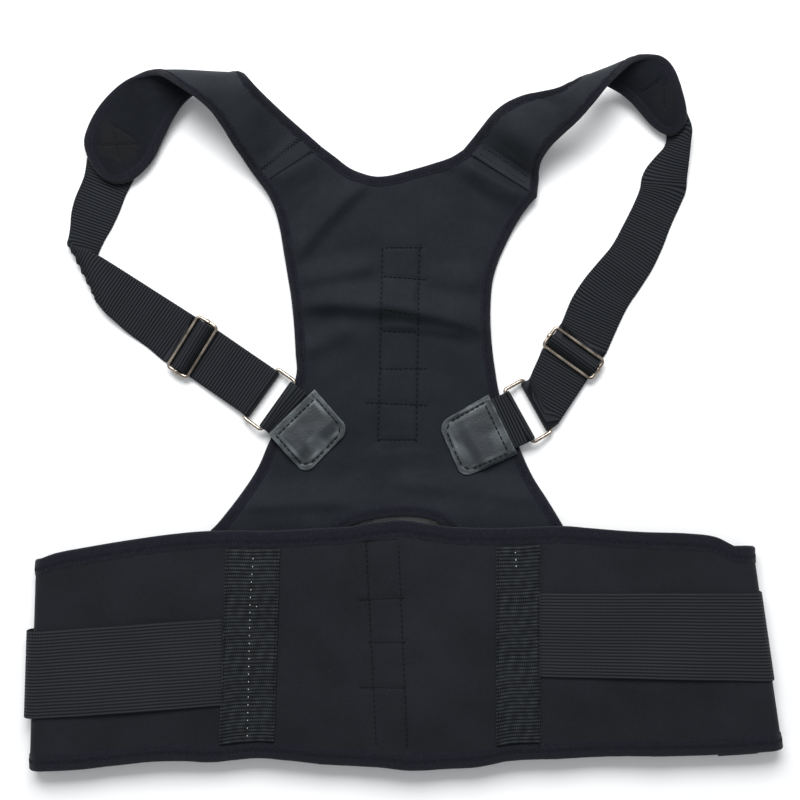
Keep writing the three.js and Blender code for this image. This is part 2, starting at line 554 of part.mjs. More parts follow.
// one station of a webbing: both edges at distance d and height z in a frame
const station = (f, d, z, half = WEBBING_WIDTH / 2) => {
  const p = f.c.clone().addScaledVector(f.d, d);
  const a = p.clone().addScaledVector(f.e, half), b = p.clone().addScaledVector(f.e, -half);
  return [a.x, a.y, z, b.x, b.y, z, 0];
};
for (const side of ['left', 'right']) {
  const S = HW[`slider_${side}`], R = HW[`ring_${side}`];
  const centre = S.c.clone().setZ(SLIDER_Z), up = v(0, 0, 1);
  const frame = closedWire(roundedOutline(centre, S.e, S.d, SLIDER_LENGTH - WIRE, SLIDER_DEPTH - WIRE, SLIDER_CORNER), up, WIRE / 2);
  const bar = new THREE.CylinderGeometry(SLIDER_BAR / 2, SLIDER_BAR / 2, SLIDER_LENGTH - WIRE, 8);
  bar.rotateZ(Math.atan2(S.e.y, S.e.x) - Math.PI / 2);
  bar.translate(centre.x, centre.y, centre.z);
  let solid = toSolid(frame).add(toSolid(bar));
  for (const sign of [-1, 1]) {                 // rounded ends of the centre bar over the frame
    const knob = new THREE.SphereGeometry(1.75, 8, 6);
    const p = centre.clone().addScaledVector(S.e, sign * (SLIDER_LENGTH / 2 - WIRE / 2));
    knob.translate(p.x, p.y, p.z + 0.3);
    solid = solid.add(toSolid(knob));
  }
  add(`slider_${side}`, fromSolid(solid), 'metal');
  // ring: tilted, its strap-side bar low and its tab-side bar over the panel's edge
  const rise = v(R.d.x * RING_PITCH, R.d.y * RING_PITCH, RING_HIGH - RING_LOW), depth = rise.length();
  const f = rise.clone().normalize(), ringUp = R.e.clone().cross(f).normalize();
  const ringCentre = R.c.clone().setZ((RING_LOW + RING_HIGH) / 2);
  add(`ring_${side}`, closedWire(roundedOutline(ringCentre, R.e, f, RING_LENGTH - WIRE, depth, RING_CORNER), ringUp, WIRE / 2), 'metal');
}

// ---------------------------------------------------------------- webbing
// From under the lobe, over the free run, through the slider, round the ring's bar and back to the slider's bar
function webbing(side, strap, underRows, freeRows, lobeOffset) {
  const S = HW[`slider_${side}`], R = HW[`ring_${side}`];
  const barR = { ...R, c: R.c.clone().addScaledVector(R.d, -RING_PITCH / 2) };
  const rows = [];
  for (const [s, ta, tb] of underRows) {
    const a = strap(s, ta, lobeOffset), b = strap(s, tb, lobeOffset);
    rows.push([a.x, a.y, a.z, b.x, b.y, b.z, 0]);
  }
  rows.push(...freeRows);
  for (const [where, d, z] of THREADING) rows.push(station(where === 'slider' ? S : barR, d, z));
  const map = bandMap(rows, 1);
  // more stations where the path bends
  const start = underRows.length + freeRows.length, places = [];
  const stops = [...span(0, start - 1, Math.round((start - 1) * 1.7)), ...span(start, rows.length - 1, Math.round((rows.length - 1 - start) * 1.5))];
  for (const s of stops) places.push([0, 1].map((t) => [s, t]));
  add(`webbing_${side}`, slab(map, places, -WEBBING_THICK / 2, WEBBING_THICK / 2), 'webbing');
}
webbing('left', strapLeft, UNDER_LEFT, WEB_LEFT, 3.05);
webbing('right', strapRight, UNDER_RIGHT, WEB_RIGHT, 3.9);

// ---------------------------------------------------------------- leather tabs and their loops
for (const side of ['left', 'right']) {
  const R = HW[`ring_${side}`], quad = side === 'left' ? TAB_LEFT : TAB_RIGHT;
  const [a, h, hFar, aFar] = quad.map(([x, y]) => v(x, y));
  const edgeMid = a.clone().lerp(h, 0.5), farMid = aFar.clone().lerp(hFar, 0.5);
  const q = farMid.clone().sub(edgeMid), length = q.length(); q.normalize();
  const e = a.clone().sub(h).normalize(), half = a.distanceTo(h) / 2;
  const barT = { ...R, c: R.c.clone().addScaledVector(R.d, RING_PITCH / 2) };
  const offset = barT.c.clone().sub(edgeMid).dot(e);
  const T = { c: edgeMid.clone().addScaledVector(e, offset * 0.8), d: q, e };
  const rows = [];
  for (const [where, d, z] of LOOP_PATH) rows.push(station(where === 'tab' ? T : barT, d, z));
  const loop = bandMap(rows, 1);
  add(`tab_loop_${side}`, slab(loop, span(0, rows.length - 1, Math.round((rows.length - 1) * 1.6)).map((s) => [0, 1].map((t) => [s, t])),
    -LOOP_THICK / 2, LOOP_THICK / 2), 'webbing');
  const lift = (x, y) => {
    const r = v(x, y).sub(T.c), p = Math.abs(r.dot(e)), along_ = r.dot(q);
    return LEATHER_BASE + LEATHER_LIFT * (1 - smooth((p - 20.2) / 4)) * (1 - smooth((along_ - 23.5) / 8));
  };
  const tab = (s, t, n) => {                    // s away from the ring, t across; far corners rounded
    const r = 0.2, k = s > 1 - r ? 1 - Math.sqrt(Math.max(0, 1 - ((s - 1 + r) / r) ** 2)) : 0;
    const tt = mix(t, 0.5, k * 0.36);
    const p = a.clone().lerp(h, tt).lerp(aFar.clone().lerp(hFar, tt), s);
    return v(p.x, p.y, lift(p.x, p.y) + n);
  };
  const ss = [0, 0.12, 0.24, 0.36, 0.48, 0.58, 0.66, 0.74, 0.8, 0.86, 0.92, 0.97, 1];
  add(`leather_tab_${side}`, slab(tab, ss.map((s) => span(0, 1, 12).map((t) => [s, t])), 0, LEATHER_THICK), 'leather');
}

// ---------------------------------------------------------------- waist belt
// The loop's section in the xz plane, from the end of the left wing round both folds to the end of the right wing
const FOLD_R = (BELT_FRONT_Z - BELT_WING_Z) / 2, FOLD_Z = (BELT_FRONT_Z + BELT_WING_Z) / 2;
const XL0 = BELT_LEFT + FOLD_R, XR0 = BELT_RIGHT - FOLD_R;
const WING_END_L = 50, WING_END_R = -50, STEP_FROM = 104, STEP_TO = 62;
const ARC = Math.PI * FOLD_R;
const U1 = WING_END_L - XL0, U2 = U1 + ARC, U3 = U2 + (XR0 - XL0), U4 = U3 + ARC, U5 = U4 + (XR0 - WING_END_R);
function loopSection(u) {                        // x, z, outward normal x, z, side (0 lower left, 1 front, 2 lower right)
  if (u <= U1) return [WING_END_L - u, BELT_WING_Z, 0, -1];
  if (u <= U2) { const w = -Math.PI / 2 - (u - U1) / FOLD_R; return [XL0 + FOLD_R * Math.cos(w), FOLD_Z + FOLD_R * Math.sin(w), Math.cos(w), Math.sin(w)]; }
  if (u <= U3) return [XL0 + (u - U2), BELT_FRONT_Z, 0, 1];
  if (u <= U4) { const w = Math.PI / 2 - (u - U3) / FOLD_R; return [XR0 + FOLD_R * Math.cos(w), FOLD_Z + FOLD_R * Math.sin(w), Math.cos(w), Math.sin(w)]; }
  const x = XR0 - (u - U4), k = smooth((STEP_FROM - x) / (STEP_FROM - STEP_TO));
  return [x, mix(BELT_WING_Z, BELT_OVERLAP_Z, k), 0, -1];
}
const under = (u) => (u < U1 ? 1 : u < U2 ? 1 - (u - U1) / ARC : u < U3 ? 0 : u < U4 ? (u - U3) / ARC : 1);
const wingInset = (u, x) => under(u) * (1 + 13 * smooth((252 - Math.abs(x)) / 112));
function beltLimits(u) {
  const [x] = loopSection(u), k = wingInset(u, x);
  return [heightAt(BELT_BOTTOM, x) + k * 0.75, heightAt(BELT_TOP, x) - k];
}
function onBelt(u, y, n) {
  const [x, z, nx, nz] = loopSection(u);
  const w = clamp((y + 235) / 135, 0, 1);
  const lean = smooth((XL0 + 90 - x) / 90) * (mix(FOLD_LEFT[0], FOLD_LEFT[1], w) - (BELT_LEFT - BELT_WALL / 2))
    + smooth((x - XR0 + 90) / 90) * (mix(FOLD_RIGHT[0], FOLD_RIGHT[1], w) - (BELT_RIGHT + BELT_WALL / 2));
  return v(x + lean + nx * n, y, z + nz * n);
}
{
  const us = [...span(0, U1, 9), ...span(U1, U2, 7).slice(1), ...span(U2, U3, 22).slice(1), ...span(U3, U4, 7).slice(1),
    ...span(U4, XR0 - STEP_FROM + U4, 5).slice(1), ...span(XR0 - STEP_FROM + U4, XR0 - STEP_TO + U4, 4).slice(1), ...span(XR0 - STEP_TO + U4, U5, 4).slice(1)];
  const inner = BELT_BINDING_WIDTH + SKIN_GAP;
  const wall = us.map((u) => { const [lo, hi] = beltLimits(u); return span(lo + inner, hi - inner, 4).map((y) => [u, y]); });
  add('waist_belt', slab(onBelt, wall, -BELT_WALL / 2, BELT_WALL / 2), 'padded');
  const bind = (pick) => us.map((u) => { const [lo, hi] = beltLimits(u); return pick(lo, hi).map((y) => [u, y]); });
  add('belt_binding_top', slab(onBelt, bind((lo, hi) => [hi - BELT_BINDING_WIDTH, hi]), -BINDING_THICK / 2, BINDING_THICK / 2), 'binding');
  add('belt_binding_bottom', slab(onBelt, bind((lo, hi) => [lo, lo + BELT_BINDING_WIDTH]), -BINDING_THICK / 2, BINDING_THICK / 2), 'binding');
}
// ribbed elastics: from a strip outward, round the fold and on under the wing
const linearAt = ([[x0, y0], [x1, y1]], x) => mix(y0, y1, (x - x0) / (x1 - x0));
const off = BELT_WALL / 2 + SKIN_GAP;
{
  const uOf = (x) => U2 + (x - XL0);
  const left = [...span(uOf(-126.5), U2, 8), ...span(U2, U1, 9).slice(1), ...span(U1, U1 - 90, 5).slice(1)];
  const stand = (u) => ELASTIC_STAND * Math.sin(Math.PI * clamp((u - U1) / ARC, 0, 1)) ** 2;
  add('elastic_left', slab((u, w, n) => {
    const x = loopSection(u)[0];
    return onBelt(u, mix(linearAt(ELASTIC_LEFT_BOTTOM, x), linearAt(ELASTIC_LEFT_TOP, x), w), n + stand(u));
  }, left.map((u) => [0, 1].map((w) => [u, w])), off, off + ELASTIC_THICK), 'elastic');
  const right = [...span(uOf(95.2), U3, 8), ...span(U3, U4, 9).slice(1), ...span(U4, U4 + 90, 5).slice(1)];
  add('elastic_right', slab((u, w, n) => {
    const x = loopSection(u)[0];
    return onBelt(u, mix(linearAt(ELASTIC_RIGHT_BOTTOM, x), linearAt(ELASTIC_RIGHT_TOP, x), w), n);
  }, right.map((u) => [0, 1].map((w) => [u, w])), off, off + ELASTIC_THICK), 'elastic');
  // vertical strips between the belt's bindings
  for (const [name, corners] of [['side_strip_left', STRIP_LEFT], ['side_strip_right', STRIP_RIGHT]]) {
    const map = (s, t, n) => {
      const x = mix(mix(corners[0][0], corners[1][0], s), mix(corners[2][0], corners[3][0], s), t);
      const hi = heightAt(BELT_TOP, x) - BELT_BINDING_WIDTH - 2 * SKIN_GAP, lo = heightAt(BELT_BOTTOM, x) + BELT_BINDING_WIDTH + 2 * SKIN_GAP;
      return v(x, mix(hi, lo, s), BELT_FRONT_Z + n);
    };
    add(name, slab(map, span(0, 1, 10).map((s) => span(0, 1, 2).map((t) => [s, t])), off, off + STRIP_THICK), 'webbing');
  }
}
// end of the closure, lying inside the right fold and showing under the belt's lower edge
{
  const map = (s, t, n) => v(mix(CLOSURE_PAD.x0, CLOSURE_PAD.x1, t), mix(heightAt(BELT_BOTTOM, mix(CLOSURE_PAD.x0, CLOSURE_PAD.x1, t)) - CLOSURE_PAD.below, CLOSURE_PAD.top, s), CLOSURE_PAD.z + n);
  add('closure_pad', slab(map, span(0, 1, 3).map((s) => span(0, 1, 4).map((t) => [s, t])), 0, CLOSURE_PAD.thick), 'webbing');
}

export default group;
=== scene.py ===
# Looks of a posture corrector that lies flat on a table: padded back panel, folded shoulder straps, webbing with
# sliders and rings, leather tabs and a waist belt lying as a flattened loop. Tables in millimetres, objects in metres.
import bpy
import math
import numpy as np
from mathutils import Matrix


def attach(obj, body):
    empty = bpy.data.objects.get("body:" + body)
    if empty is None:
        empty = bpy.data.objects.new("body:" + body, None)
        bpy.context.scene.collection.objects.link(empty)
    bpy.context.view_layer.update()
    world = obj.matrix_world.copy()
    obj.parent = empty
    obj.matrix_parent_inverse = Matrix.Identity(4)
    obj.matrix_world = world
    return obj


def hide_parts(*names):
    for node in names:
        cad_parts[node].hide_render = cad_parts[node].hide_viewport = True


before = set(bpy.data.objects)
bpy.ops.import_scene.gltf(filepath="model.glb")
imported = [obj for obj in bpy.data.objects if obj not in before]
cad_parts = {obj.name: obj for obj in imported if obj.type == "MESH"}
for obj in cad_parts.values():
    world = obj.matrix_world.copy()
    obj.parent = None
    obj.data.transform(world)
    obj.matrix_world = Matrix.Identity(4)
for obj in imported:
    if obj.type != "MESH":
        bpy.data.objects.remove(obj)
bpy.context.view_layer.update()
scene = bpy.context.scene

# ---------------------------------------------------------------- driving dimensions, millimetres
PANEL_WALL, STRAP_WALL, BELT_WALL = 3.0, 3.6, 3.0
BINDING_WIDTH, BINDING_THICK, ARCH_BINDING_WIDTH, BELT_BINDING_WIDTH = 7.6, 4.2, 8.4, 12.0
SKIN_GAP, PANEL_REST = 0.3, 0.6
WEBBING_WIDTH, WEBBING_THICK, LOOP_THICK, ELASTIC_THICK, STRIP_THICK = 37.4, 1.4, 1.2, 1.2, 1.3
WIRE, SLIDER_LENGTH, SLIDER_DEPTH, SLIDER_CORNER, SLIDER_Z, SLIDER_BAR = 2.6, 43.4, 18.2, 2.4, 5.2, 2.0
RING_LENGTH, RING_PITCH, RING_CORNER, RING_LOW, RING_HIGH = 44.0, 15.5, 2.2, 3.3, 7.3
LEATHER_THICK, LEATHER_BASE, LEATHER_LIFT = 1.3, 4.6, 2.95
BELT_FRONT_Z, BELT_WING_Z, BELT_OVERLAP_Z, BELT_LEFT, BELT_RIGHT = 14.5, 3.0, 7.6, -257.0, 257.0
SEAM_START, ELASTIC_STAND = 0.02, 3.6
RIB_PITCH, ELASTIC_RIB, WEAVE_ROW, WEAVE_COLUMN = 2.1, 2.15, 2.45, 1.4

# ---------------------------------------------------------------- tables
# left shoulder strap, a row for each section from the seam over the fold to the lobe: edge A x, y, z; edge B x, y, z; crown of the middle
STRAP_LEFT = [
    [-56.7, 184.5, 5.5, -98.5, 157.3, 5.5, 0.3],
    [-71.8, 197.2, 9, -106.5, 168, 8, 0.8],
    [-81.7, 205.2, 14, -111.8, 176.1, 13, 1.6],
    [-90.1, 212.1, 20, -117.3, 183.3, 18.5, 2.2],
    [-95.6, 216.8, 26, -123.6, 194.3, 25, 2.4],
    [-99.5, 220.1, 30.5, -130.3, 205.6, 30, 2],
    [-103, 223.8, 32, -140.1, 212.6, 32.5, 1.4],
    [-106.4, 227.5, 29.5, -153.8, 221.4, 31, 0.8],
    [-108.9, 230.2, 25.5, -163.1, 228.9, 26.5, 0.3],
    [-111.2, 231.7, 21, -168.2, 232.7, 21, 0],
    [-115.2, 231.9, 16, -174.3, 234, 16, 0],
    [-121.9, 230.1, 12.3, -182.6, 233.5, 12.5, 0],
    [-131.9, 226.5, 10, -191, 231.3, 10.3, -0.2],
    [-144.6, 221.3, 8.6, -200, 224.7, 9, -0.5],
    [-153.1, 214.6, 7.6, -207.5, 217.3, 8, -0.9],
    [-159.5, 205.1, 6.8, -213.5, 209.8, 7.2, -1.2],
    [-165.1, 193.4, 6.1, -218.2, 202.3, 6.5, -1.2],
    [-171.2, 181.7, 5.4, -221.2, 194.2, 5.8, -1],
    [-176.5, 167.9, 4.9, -224.5, 182.5, 5.1, -0.7],
    [-181.8, 151.9, 4.5, -226.3, 167.9, 4.6, -0.3],
]

# right shoulder strap, the same columns
STRAP_RIGHT = [
    [41.4, 182.4, 5.5, 92.9, 149.7, 5.5, 0.3],
    [47.5, 189.5, 8, 93.7, 158.5, 7, 0.8],
    [54.2, 197.4, 12, 93.3, 166.8, 11, 1.6],
    [61.4, 205.6, 17, 94.6, 174.6, 15.5, 2.2],
    [69.9, 212.3, 22, 100.2, 182.7, 20, 2.4],
    [81.8, 216.5, 26, 108.6, 189.4, 24, 2.4],
    [93.1, 217.8, 29, 118.3, 197, 28, 2],
    [102.3, 218.5, 31, 127.3, 207.2, 31, 1.4],
    [109.7, 220.7, 31, 136.5, 219.5, 33, 0.8],
    [115.6, 223.8, 28, 145.6, 229.1, 31, 0.3],
    [119.8, 226.5, 24, 152.4, 236.6, 27, 0],
    [123.5, 228.2, 20, 157.3, 241.2, 22.5, 0],
    [128.3, 228.6, 15.5, 162.7, 244.2, 19, 0],
    [135, 227.4, 12, 169.2, 246.2, 17, -0.3],
    [143, 224.9, 9.5, 176.3, 246.4, 16, -0.8],
    [151, 221.2, 7.5, 182.6, 242.4, 15.5, -1.4],
    [158.1, 215.6, 6.4, 187.5, 235.6, 15, -1.8],
    [164.5, 208.5, 5.6, 190.4, 227.5, 14.5, -1.8],
    [170.9, 200.6, 5, 192.9, 218.6, 14, -1.4],
    [177.9, 194.4, 4.7, 195.8, 210.5, 13.5, -0.9],
    [185.2, 188.1, 4.6, 199, 203, 13, -0.4],
]

# free run of the left webbing with its fold, a row for each section: edge A x, y, z; edge B x, y, z; crown of the middle
WEB_LEFT = [
    [-223.3, 164.3, 1.3, -194, 152.5, 1.1, 0],
    [-229.4, 149.7, 0.9, -198.6, 140.6, 0.9, 0],
    [-232.1, 139.2, 1, -203.8, 129.4, 0.9, 0],
    [-232.7, 130, 1.6, -209.4, 119.6, 0.9, 0],
    [-233.5, 122.9, 2.6, -214.3, 107.8, 0.9, 0],
    [-234, 119.3, 4, -216.7, 92.3, 1.4, 0],
    [-233.8, 117.4, 5.4, -214.6, 78.9, 2.8, 0],
    [-231.8, 116.5, 6.6, -211.5, 74, 4.2, 0],
    [-226.1, 114.8, 6.8, -207.2, 68.7, 4.6, 0],
    [-214.3, 110, 5.6, -201, 63.2, 4.2, 0],
    [-199.7, 101.1, 4, -193.7, 56.6, 2.8, 0],
    [-184.7, 91.5, 2.4, -186.6, 51.1, 1.6, 0],
    [-170.2, 82.2, 1.5, -178.6, 45.2, 1.1, 0],
]

# free run of the right webbing with its twist; edge A is the inner edge
WEB_RIGHT = [
    [182, 184.9, 1.8, 199.8, 196.9, 9.5, 0],
    [175.8, 178, 1.3, 199.4, 187.5, 8, 0],
    [169.9, 170.7, 1, 198.5, 175.3, 6, 0],
    [166.7, 163.7, 1.2, 197.6, 164.6, 3.8, 0],
    [165.3, 155.9, 1.6, 197, 154.5, 1.8, 0],
    [161.2, 145.5, 1, 193.3, 144.8, 1, 0],
    [153.5, 130.1, 0.9, 186.7, 130.1, 0.9, 0],
    [145.8, 116.2, 0.9, 180.8, 114.8, 0.9, 0],
    [135.3, 103.6, 0.9, 173.8, 100.1, 0.9, 0],
    [126.2, 92.4, 0.9, 165.4, 86.8, 0.9, 0],
    [117.8, 79.1, 1, 154.9, 70.7, 1, 0],
]

# webbing under the strap's lobe: row of the strap, place of its two edges across the strap
UNDER_LEFT = [[15.4, 0.93, 0.2], [16.4, 0.93, 0.2], [17.4, 0.92, 0.19], [18.3, 0.91, 0.18]]

UNDER_RIGHT = [[16.6, 0.08, 0.92], [17.6, 0.08, 0.92], [18.6, 0.08, 0.92], [19.5, 0.06, 0.92]]

# left side of the panel from under the belt up to the seam: x, y
SIDE_LEFT = [
    [-138.5, -89],
    [-134.3, -82.6],
    [-127.3, -75.3],
    [-114.1, -58.2],
    [-102.2, -39.7],
    [-94.2, -21.5],
    [-83.4, 2.9],
    [-75.1, 25.2],
    [-75.4, 41.3],
    [-76.7, 62.9],
    [-78.5, 80.3],
    [-80.6, 92.9],
    [-83.4, 110.3],
    [-86.2, 127.1],
    [-89.7, 141],
    [-94.5, 151.5],
    [-98.5, 157.3],
]

# right side of the panel: x, y
SIDE_RIGHT = [
    [115.5, -89],
    [110.9, -79.4],
    [100.5, -61.7],
    [90, -44.6],
    [82, -27.1],
    [74.3, -7.6],
    [67.3, 11.3],
    [63.8, 30.8],
    [61.7, 47.5],
    [60.7, 62.9],
    [61, 77.5],
    [62.4, 91.8],
    [66.6, 106.1],
    [74.3, 122.9],
    [80.9, 134.7],
    [87.5, 143.8],
    [92.9, 149.7],
]

# neckline from the left seam to the right seam: x, y
NECKLINE = [
    [-56.7, 184.5],
    [-47.7, 177.8],
    [-38, 170.5],
    [-28.9, 166.7],
    [-19.2, 164.6],
    [-8.7, 165.5],
    [3.8, 168.7],
    [19.2, 172.9],
    [32.4, 177.1],
    [41.4, 182.4],
]

# edge of the arched cut-out at the panel's foot: x, y
ARCH_EDGE = [
    [-50.9, -89],
    [-37.8, -79.8],
    [-21.1, -74.6],
    [-1.1, -72.5],
    [17.6, -74.3],
    [27.3, -79.5],
    [41.2, -89],
]

# wrinkles of the panel: start x, y; end x, y; height; half width
PANEL_WRINKLES = [
    [-66, 71, 50, 57, 4.2, 7],
    [-74, 92, -40, 93, 1.6, 8],
    [-70, 46, -30, 42, 1.4, 8],
    [-28, 152, -66, 104, 2.2, 10],
    [44, 150, 70, 122, 1.6, 9],
]

# top edge of the belt: x, y
BELT_TOP = [
    [-255.2, -101],
    [-243.5, -96.9],
    [-225.3, -93.5],
    [-185.7, -87.3],
    [-146.4, -82.5],
    [-119.5, -81.4],
    [-92.7, -81.6],
    [-54.8, -79.7],
    [-39, -79],
    [-21.7, -76],
    [-1.1, -74.2],
    [18.2, -76.9],
    [33.4, -79],
    [66.4, -79.7],
    [109.8, -78.3],
    [128.4, -79.7],
    [162.8, -82.2],
    [204.2, -83.5],
    [228.3, -85.9],
    [243.4, -92.1],
]

# bottom edge of the belt: x, y
BELT_BOTTOM = [
    [-257.3, -247.7],
    [-225.3, -246.4],
    [-198.7, -243.6],
    [-174.6, -240.9],
    [-152.6, -240.4],
    [-133.3, -241.5],
    [-113.3, -239.5],
    [-97.5, -238.5],
    [-78.9, -240],
    [-52.7, -242.9],
    [-16.2, -244.6],
    [4.4, -246.7],
    [32.7, -245.7],
    [52.6, -244.3],
    [73.3, -240.2],
    [107.7, -238.8],
    [149.1, -237.1],
    [196.6, -236.7],
    [231.7, -235],
    [261.3, -232.6],
]

# threading of a webbing: frame, distance along the travel from its bar, height of the middle
THREADING = [
    ['slider', -14, 1.0], ['slider', -10.5, 1.2], ['slider', -7.9, 1.9], ['slider', -5.7, 3.3], ['slider', -4.2, 5.6],
    ['slider', -2.7, 7.85], ['slider', 0, 9.0], ['slider', 2.7, 7.85], ['slider', 4.2, 5.7], ['slider', 5.6, 3.8],
    ['slider', 7.9, 2.8], ['slider', 11, 2.7], ['slider', 16, 2.7], ['ring', -9, 3.0], ['ring', -4.5, 4.4],
    ['ring', -1.6, 5.5], ['ring', 0, 5.65], ['ring', 1.66, 4.96], ['ring', 2.35, 3.3], ['ring', 1.66, 1.64],
    ['ring', 0, 0.95], ['ring', -4, 0.9], ['ring', -9, 0.9], ['slider', 16, 0.9], ['slider', 9, 0.9],
    ['slider', 5.0, 0.95], ['slider', 2.6, 1.7], ['slider', 0.9, 2.95], ['slider', -0.9, 3.35], ['slider', -2.05, 4.7],
    ['slider', -1.7, 6.4], ['slider', -0.2, 7.25], ['slider', 1.2, 6.95],
]

# loop between ring and tab: frame, distance away from the ring's bar or from the tab's edge, height of the middle
LOOP_PATH = [
    ['tab', 19, 5.2], ['tab', 10, 5.2], ['tab', 1, 5.2], ['bar', 3.5, 5.1], ['bar', 0, 5.05], ['bar', -1.6, 5.7],
    ['bar', -2.25, 7.3], ['bar', -1.6, 8.9], ['bar', 0, 9.55], ['bar', 2.6, 9.0], ['tab', -1.5, 7.0], ['tab', 1.5, 6.65],
    ['tab', 10, 6.6], ['tab', 19, 6.6],
]

# outer x of the belt's folds at the bottom edge and at the top edge
FOLD_LEFT, FOLD_RIGHT = (-258.6, -254.4), (262.7, 243.0)
# edges of the elastics as straight lines: x, y of both ends
ELASTIC_LEFT_TOP, ELASTIC_LEFT_BOTTOM = [[-259.4, -150.9], [-124.7, -141.6]], [[-262.1, -211.3], [-124.7, -201.4]]
ELASTIC_RIGHT_TOP, ELASTIC_RIGHT_BOTTOM = [[93.7, -124.1], [245.1, -124.1]], [[93.7, -181.6], [254.8, -185]]
# corners of the strips: outer top, outer bottom, inner top, inner bottom
STRIP_LEFT = [[-121.9, -92.5], [-126.8, -228.5], [-84.9, -92.5], [-89, -228.5]]
STRIP_RIGHT = [[63.8, -89.7], [63.8, -229.2], [93.7, -89.7], [93.7, -229.2]]
# corners of the leather tabs: ring side top, ring side bottom, far bottom, far top
TAB_LEFT = [[-61.8, 15.9], [-93.7, -15.1], [-68.4, -43.9], [-37.1, -12.4]]
TAB_RIGHT = [[59, 12.3], [79.1, -29], [40.6, -46.3], [23.9, -7.8]]
CLOSURE_PAD = dict(x0=218.8, x1=246, below=3.2, top=-170, z=5.7, thick=1.5)
# hardware: x, y of the centre, direction of travel towards the tab and direction along the bars, degrees
HARDWARE = {
    "slider_left": [-147.0, 45.4, -31.7, 58.3],
    "ring_left": [-93.3, 8.9, -35.5, 54.5],
    "slider_right": [118.3, 41.1, -125.5, 144.5],
    "ring_right": [86.6, 0.8, -151, 119],
}
# soft folds of the panel: start x, y of the crest; end x, y; height; width to the left of the crest and to the right; sideways bow
PANEL_FOLDS = [
    [-72, 75, 54, 58.5, 7.6, 13, 6.4, 5.5],
    [-16, 60, 46, 52.5, 1.4, 3.5, 3, 1.5],
    [-74, 92, -20, 101.5, 3.4, 9, 7, 0],
    [-70, 42, -34, 59, 3.0, 8, 7, 0],
    [-76, 106, -27, 159, 4.6, 12, 6, 3],
    [-90, 161, -60, 177.5, 2.8, 4, 9, 0],
    [42, 172, 83, 148.5, 4.6, 4.5, 7.5, 0],
    [-14, 86.5, 9, 81, 1.8, 6, 4.5, 1],
    [14, 94, 54, 90, 2.0, 9, 7, 0],
    [-112, -64.5, -38, -61.5, 3.0, 8, 5.5, 0],
    [-10, -49, 94, -62, 2.6, 8, 6.5, 3],
    [-15, -5, 13, -8, 1.0, 7, 6, 0],
]
# stitched channel of the panel, two long rows and six short ones: x, y of both ends
PANEL_ROWS = [
    [-14.6, 115.5, -17.8, -21.5], [11.2, 115.5, 8.9, -21.5],
    [-14.8, 114.8, 15.0, 114.8], [-15.0, 94.8, 16.6, 92.4], [-15.2, 71.6, 10.2, 67.5], [-15.8, 56.8, 9.8, 56.2],
    [-17.4, 30.4, 17.2, 30.4], [-27.8, 6.8, 17.6, 5.0], [-18.8, -19.0, 9.6, -19.0],
]
# stitched channel of the belt's middle: x, y of both ends
BELT_ROWS = [
    [-25.8, -89.0, -18.7, -229.5], [-3.6, -88.6, 2.6, -232.0],
    [-28.6, -88.8, -3.2, -87.0], [-31.6, -128.8, 1.6, -127.4], [-25.4, -158.4, 2.4, -158.0], [-30.6, -189.0, 2.0, -189.4],
]

# ---------------------------------------------------------------- small maths
def clamp(x, a, b):
    return np.minimum(b, np.maximum(a, x))

def smooth(x):
    t = clamp(x, 0.0, 1.0)
    return t * t * (3 - 2 * t)

def mix(a, b, t):
    return a + (b - a) * t

def unit(a):
    return a / np.maximum(np.linalg.norm(a, axis=-1, keepdims=True), 1e-12)

def along(rows, s):
    """Catmull-Rom through the rows of a table; s counts rows."""
    rows = np.asarray(rows, float)
    s = np.asarray(s, float)
    n = len(rows)
    i = np.clip(np.floor(s).astype(int), 0, n - 2)
    f = (np.clip(s, 0, n - 1) - i)[..., None]
    ext = np.vstack([2 * rows[0] - rows[1], rows, 2 * rows[-1] - rows[-2]])
    p0, p1, p2, p3 = ext[i], ext[i + 1], ext[i + 2], ext[i + 3]
    return 0.5 * (2 * p1 + (p2 - p0) * f + (2 * p0 - 5 * p1 + 4 * p2 - p3) * f ** 2 + (3 * p1 - p0 - 3 * p2 + p3) * f ** 3)

def height_at(rows, x):
    """y of a table of x, y rows at a given x."""
    rows = np.asarray(rows, float)
    X, Y = rows[:, 0], rows[:, 1]
    slope = np.empty(len(X))
    slope[1:-1] = (Y[2:] - Y[:-2]) / (X[2:] - X[:-2])
    slope[0], slope[-1] = (Y[1] - Y[0]) / (X[1] - X[0]), (Y[-1] - Y[-2]) / (X[-1] - X[-2])
    x = np.clip(np.asarray(x, float), X[0], X[-1])
    i = np.clip(np.searchsorted(X, x) - 1, 0, len(X) - 2)
    h = X[i + 1] - X[i]
    t = (x - X[i]) / h
    return (1 + 2 * t) * (1 - t) ** 2 * Y[i] + t * (1 - t) ** 2 * h * slope[i] + t * t * (3 - 2 * t) * Y[i + 1] + t * t * (t - 1) * h * slope[i + 1]

def ripple(x, y, size, seed, octaves=5):
    """Soft irregular waves between about -1 and 1; size is their length in millimetres."""
    rng = np.random.RandomState(seed)
    total = np.zeros(np.broadcast(x, y).shape)
    for _ in range(octaves):
        a, phase, k = rng.uniform(0, 2 * math.pi), rng.uniform(0, 2 * math.pi), 2 * math.pi / (size * rng.uniform(0.7, 1.5))
        total = total + np.sin(k * (x * math.cos(a) + y * math.sin(a)) + phase)
    return total / octaves ** 0.5 / 1.4

def xyz(x, y, z):
    x, y, z = np.broadcast_arrays(x, y, z)
    return np.stack([x, y, z], axis=-1)

# samples over a length with extra ones near both rims, 0 to 1
def rimmed(count, length, rim=(0.0, 0.25, 0.6, 1.1)):
    r = np.array(rim) / length
    inner = np.linspace(r[-1], 1 - r[-1], count)
    return np.concatenate([r[:-1], inner, 1 - r[:-1][::-1]])

